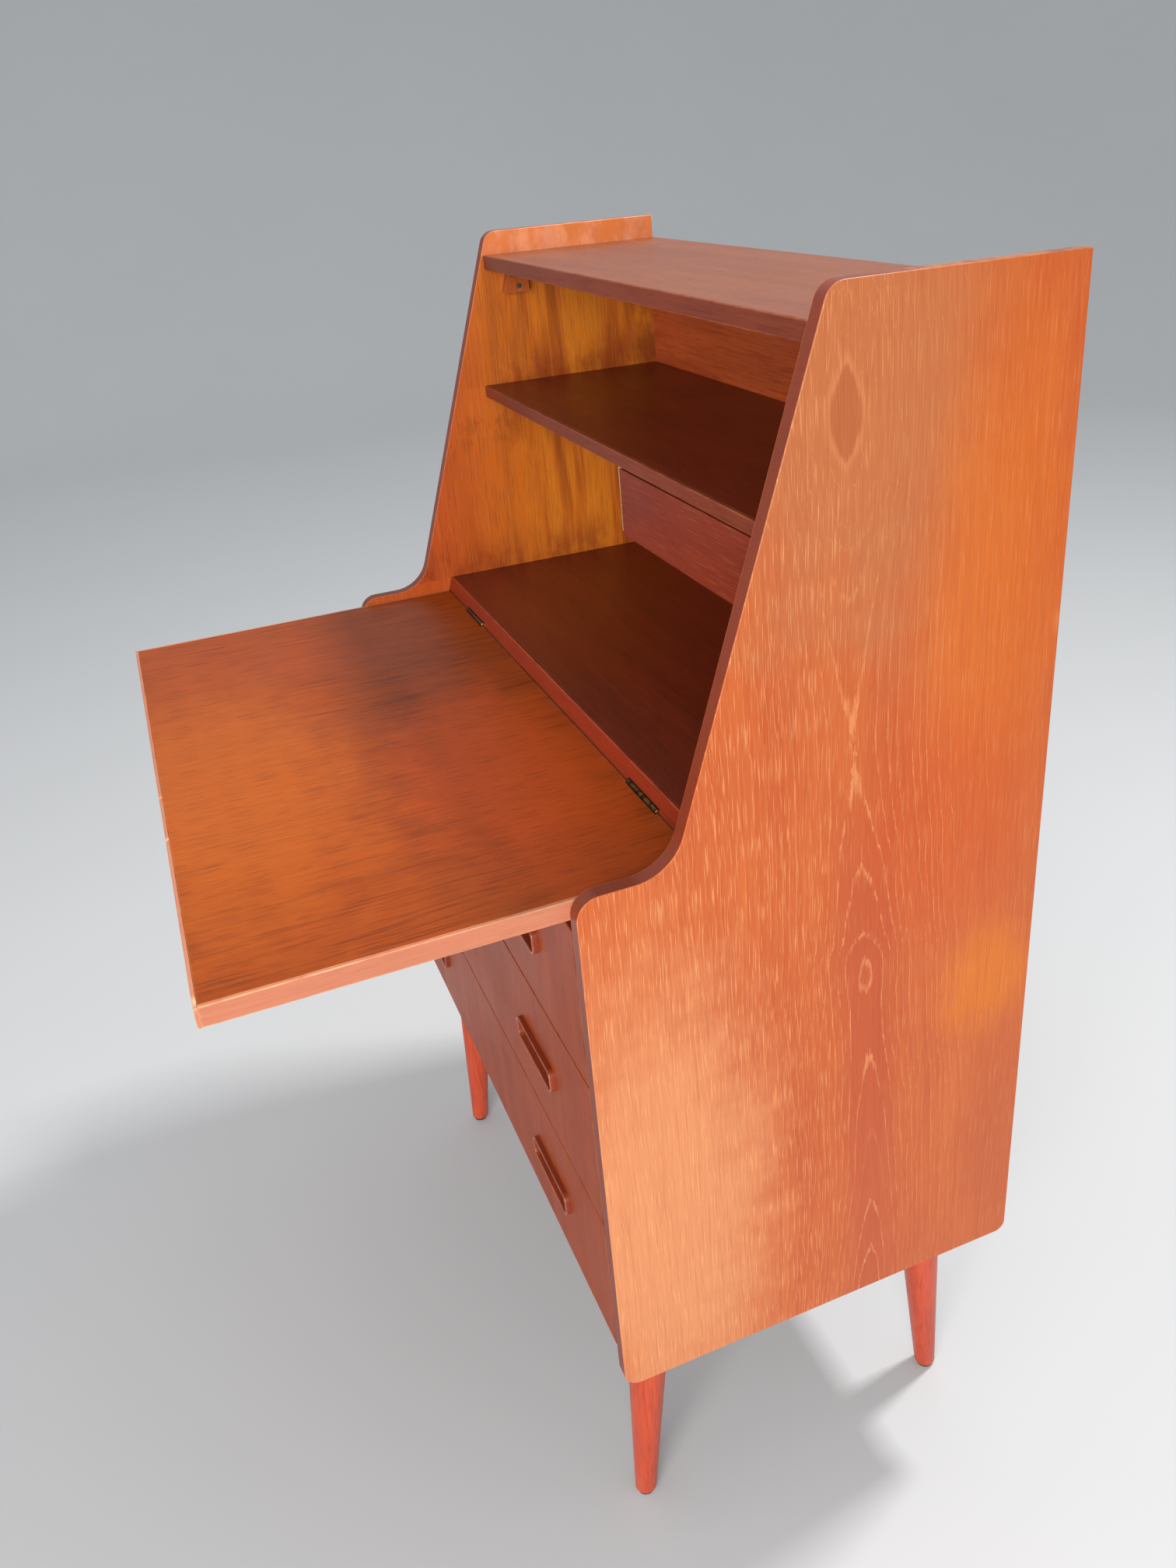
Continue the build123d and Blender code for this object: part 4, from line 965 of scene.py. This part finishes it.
def bowl_surface(flat=5.0, round_up=3.0, wall=0.6, sides=128):
    """Round studio floor: a flat disc, then a quarter circle up to a short upright wall, turned about Z."""
    swing = np.linspace(0.0, math.pi / 2, 25)
    far = np.concatenate(([0.3, 1.0, 2.0, 3.5], flat + round_up * np.sin(swing), [flat + round_up]))
    high = np.concatenate((np.zeros(4), round_up * (1.0 - np.cos(swing)), [round_up + wall]))
    around = np.linspace(0.0, 2 * math.pi, sides, endpoint=False)
    grid = np.stack((far[:, None] * np.cos(around), far[:, None] * np.sin(around),
                     np.repeat(high[:, None], sides, 1) + FLOOR_Z), -1)
    index = np.arange(grid.shape[0] * sides).reshape(-1, sides)
    after = np.roll(index, -1, 1)
    quads = np.stack((index[:-1], index[1:], after[1:], after[:-1]), -1).reshape(-1, 4)
    return grid.reshape(-1, 3), [index[0].tolist(), *quads.tolist()]


def turn_to(piece, right, up, away, place):
    """Stand an object at a place with its X, Y and Z axes along three directions."""
    rows = [[right[i], up[i], away[i], place[i]] for i in range(3)]
    piece.matrix_world = Matrix(rows + [[0.0, 0.0, 0.0, 1.0]])


def area_light(name, place, target, size, power, shade):
    """Square soft light that faces a point."""
    data = bpy.data.lights.new(name, "AREA")
    data.size = size
    data.energy = power
    data.color = shade
    lamp = new_object(name, data)
    away = np.array(place, float) - np.array(target, float)
    away /= np.linalg.norm(away)
    right = np.cross((0.0, 0.0, 1.0), away)
    right /= np.linalg.norm(right)
    turn_to(lamp, right, np.cross(away, right), away, place)


def studio_camera(settings):
    """Camera from its place, heading, tilt and roll."""
    a, e, r = settings.heading, settings.tilt, settings.roll
    back = np.array((math.sin(a) * math.cos(e), -math.cos(a) * math.cos(e), math.sin(e)))
    right = np.cross(-back, (0.0, 0.0, 1.0))
    right /= np.linalg.norm(right)
    up = np.cross(right, -back)
    right, up = (math.cos(r) * right + math.sin(r) * up, math.cos(r) * up - math.sin(r) * right)
    data = bpy.data.cameras.new("studio_camera")
    data.lens = settings.lens
    data.sensor_width = SENSOR_WIDTH
    data.shift_x, data.shift_y = LENS_SHIFT
    data.clip_start = 0.01
    camera = new_object("studio_camera", data)
    turn_to(camera, right, up, back, settings.eye)
    bpy.context.scene.camera = camera


class DESK_OT_stage(bpy.types.Operator):
    """Pale floor, soft light and camera"""
    bl_idname = "desk.stage"
    bl_label = "Stage"

    def execute(self, context):
        settings = context.scene.desk_stage
        mesh = bpy.data.meshes.new("studio_floor")
        points, faces = bowl_surface()
        mesh.from_pydata(points.tolist(), [], faces)
        smooth(mesh)
        floor = new_object("studio_floor", mesh)
        material, net, shader, place = start_material("studio_floor")
        cloud = net.noise(place, 1.3, 4.0, 0.6)
        net.put(shader.inputs["Base Color"], net.blend(net.times(cloud, 0.35), settings.floor,
                                                       linear(184, 187, 190)))
        shader.inputs["Roughness"].default_value = 0.85
        mesh.materials.append(material)
        world = bpy.data.worlds.new("studio_sky")
        world.use_nodes = True
        net = Net(world.node_tree)
        sky = world.node_tree.nodes["Background"]
        seen = net.add("LightPath").outputs["Is Camera Ray"]
        lit = tuple(settings.sky * share for share in SKY_TINT)
        net.put(sky.inputs["Color"], net.blend(seen, lit, linear(164, 167, 170)))
        context.scene.world = world
        area_light("side_light", SIDE_PLACE, SIDE_TARGET, SIDE_SIZE, settings.side_light, (1.0, 0.97, 0.93))
        x, y, z = REAR_TARGET
        rear = (x, y + REAR_FAR * math.cos(REAR_UP), z + REAR_FAR * math.sin(REAR_UP))
        area_light("rear_light", rear, REAR_TARGET, REAR_SIZE, settings.rear_light, (1.0, 0.98, 0.95))
        studio_camera(settings)
        context.scene.view_settings.view_transform = "Standard"
        return {"FINISHED"}


class DESK_PT_panel(bpy.types.Panel):
    """Steps that finish the desk"""
    bl_idname = "DESK_PT_panel"
    bl_label = "Desk"
    bl_space_type = "VIEW_3D"
    bl_region_type = "UI"
    bl_category = "Desk"

    def draw(self, context):
        for step in STEPS:
            self.layout.operator(step.bl_idname)


STEPS = (DESK_OT_side_panels, DESK_OT_boards, DESK_OT_flap, DESK_OT_drawers, DESK_OT_pulls, DESK_OT_legs,
         DESK_OT_metal, DESK_OT_stage)
SETTINGS = {"desk_finish": DeskFinish, "desk_shape": DeskShape, "desk_stage": DeskStage}


def register():
    for item in (*SETTINGS.values(), *STEPS, DESK_PT_panel):
        bpy.utils.register_class(item)
    for key, item in SETTINGS.items():
        setattr(bpy.types.Scene, key, bpy.props.PointerProperty(type=item))


def unregister():
    for key in SETTINGS:
        delattr(bpy.types.Scene, key)
    for item in reversed((*SETTINGS.values(), *STEPS, DESK_PT_panel)):
        bpy.utils.unregister_class(item)


def main():
    """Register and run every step."""
    register()
    make_groups()
    for step in STEPS:
        getattr(bpy.ops.desk, step.bl_idname.split(".")[1])()


if __name__ == "__main__":
    main()
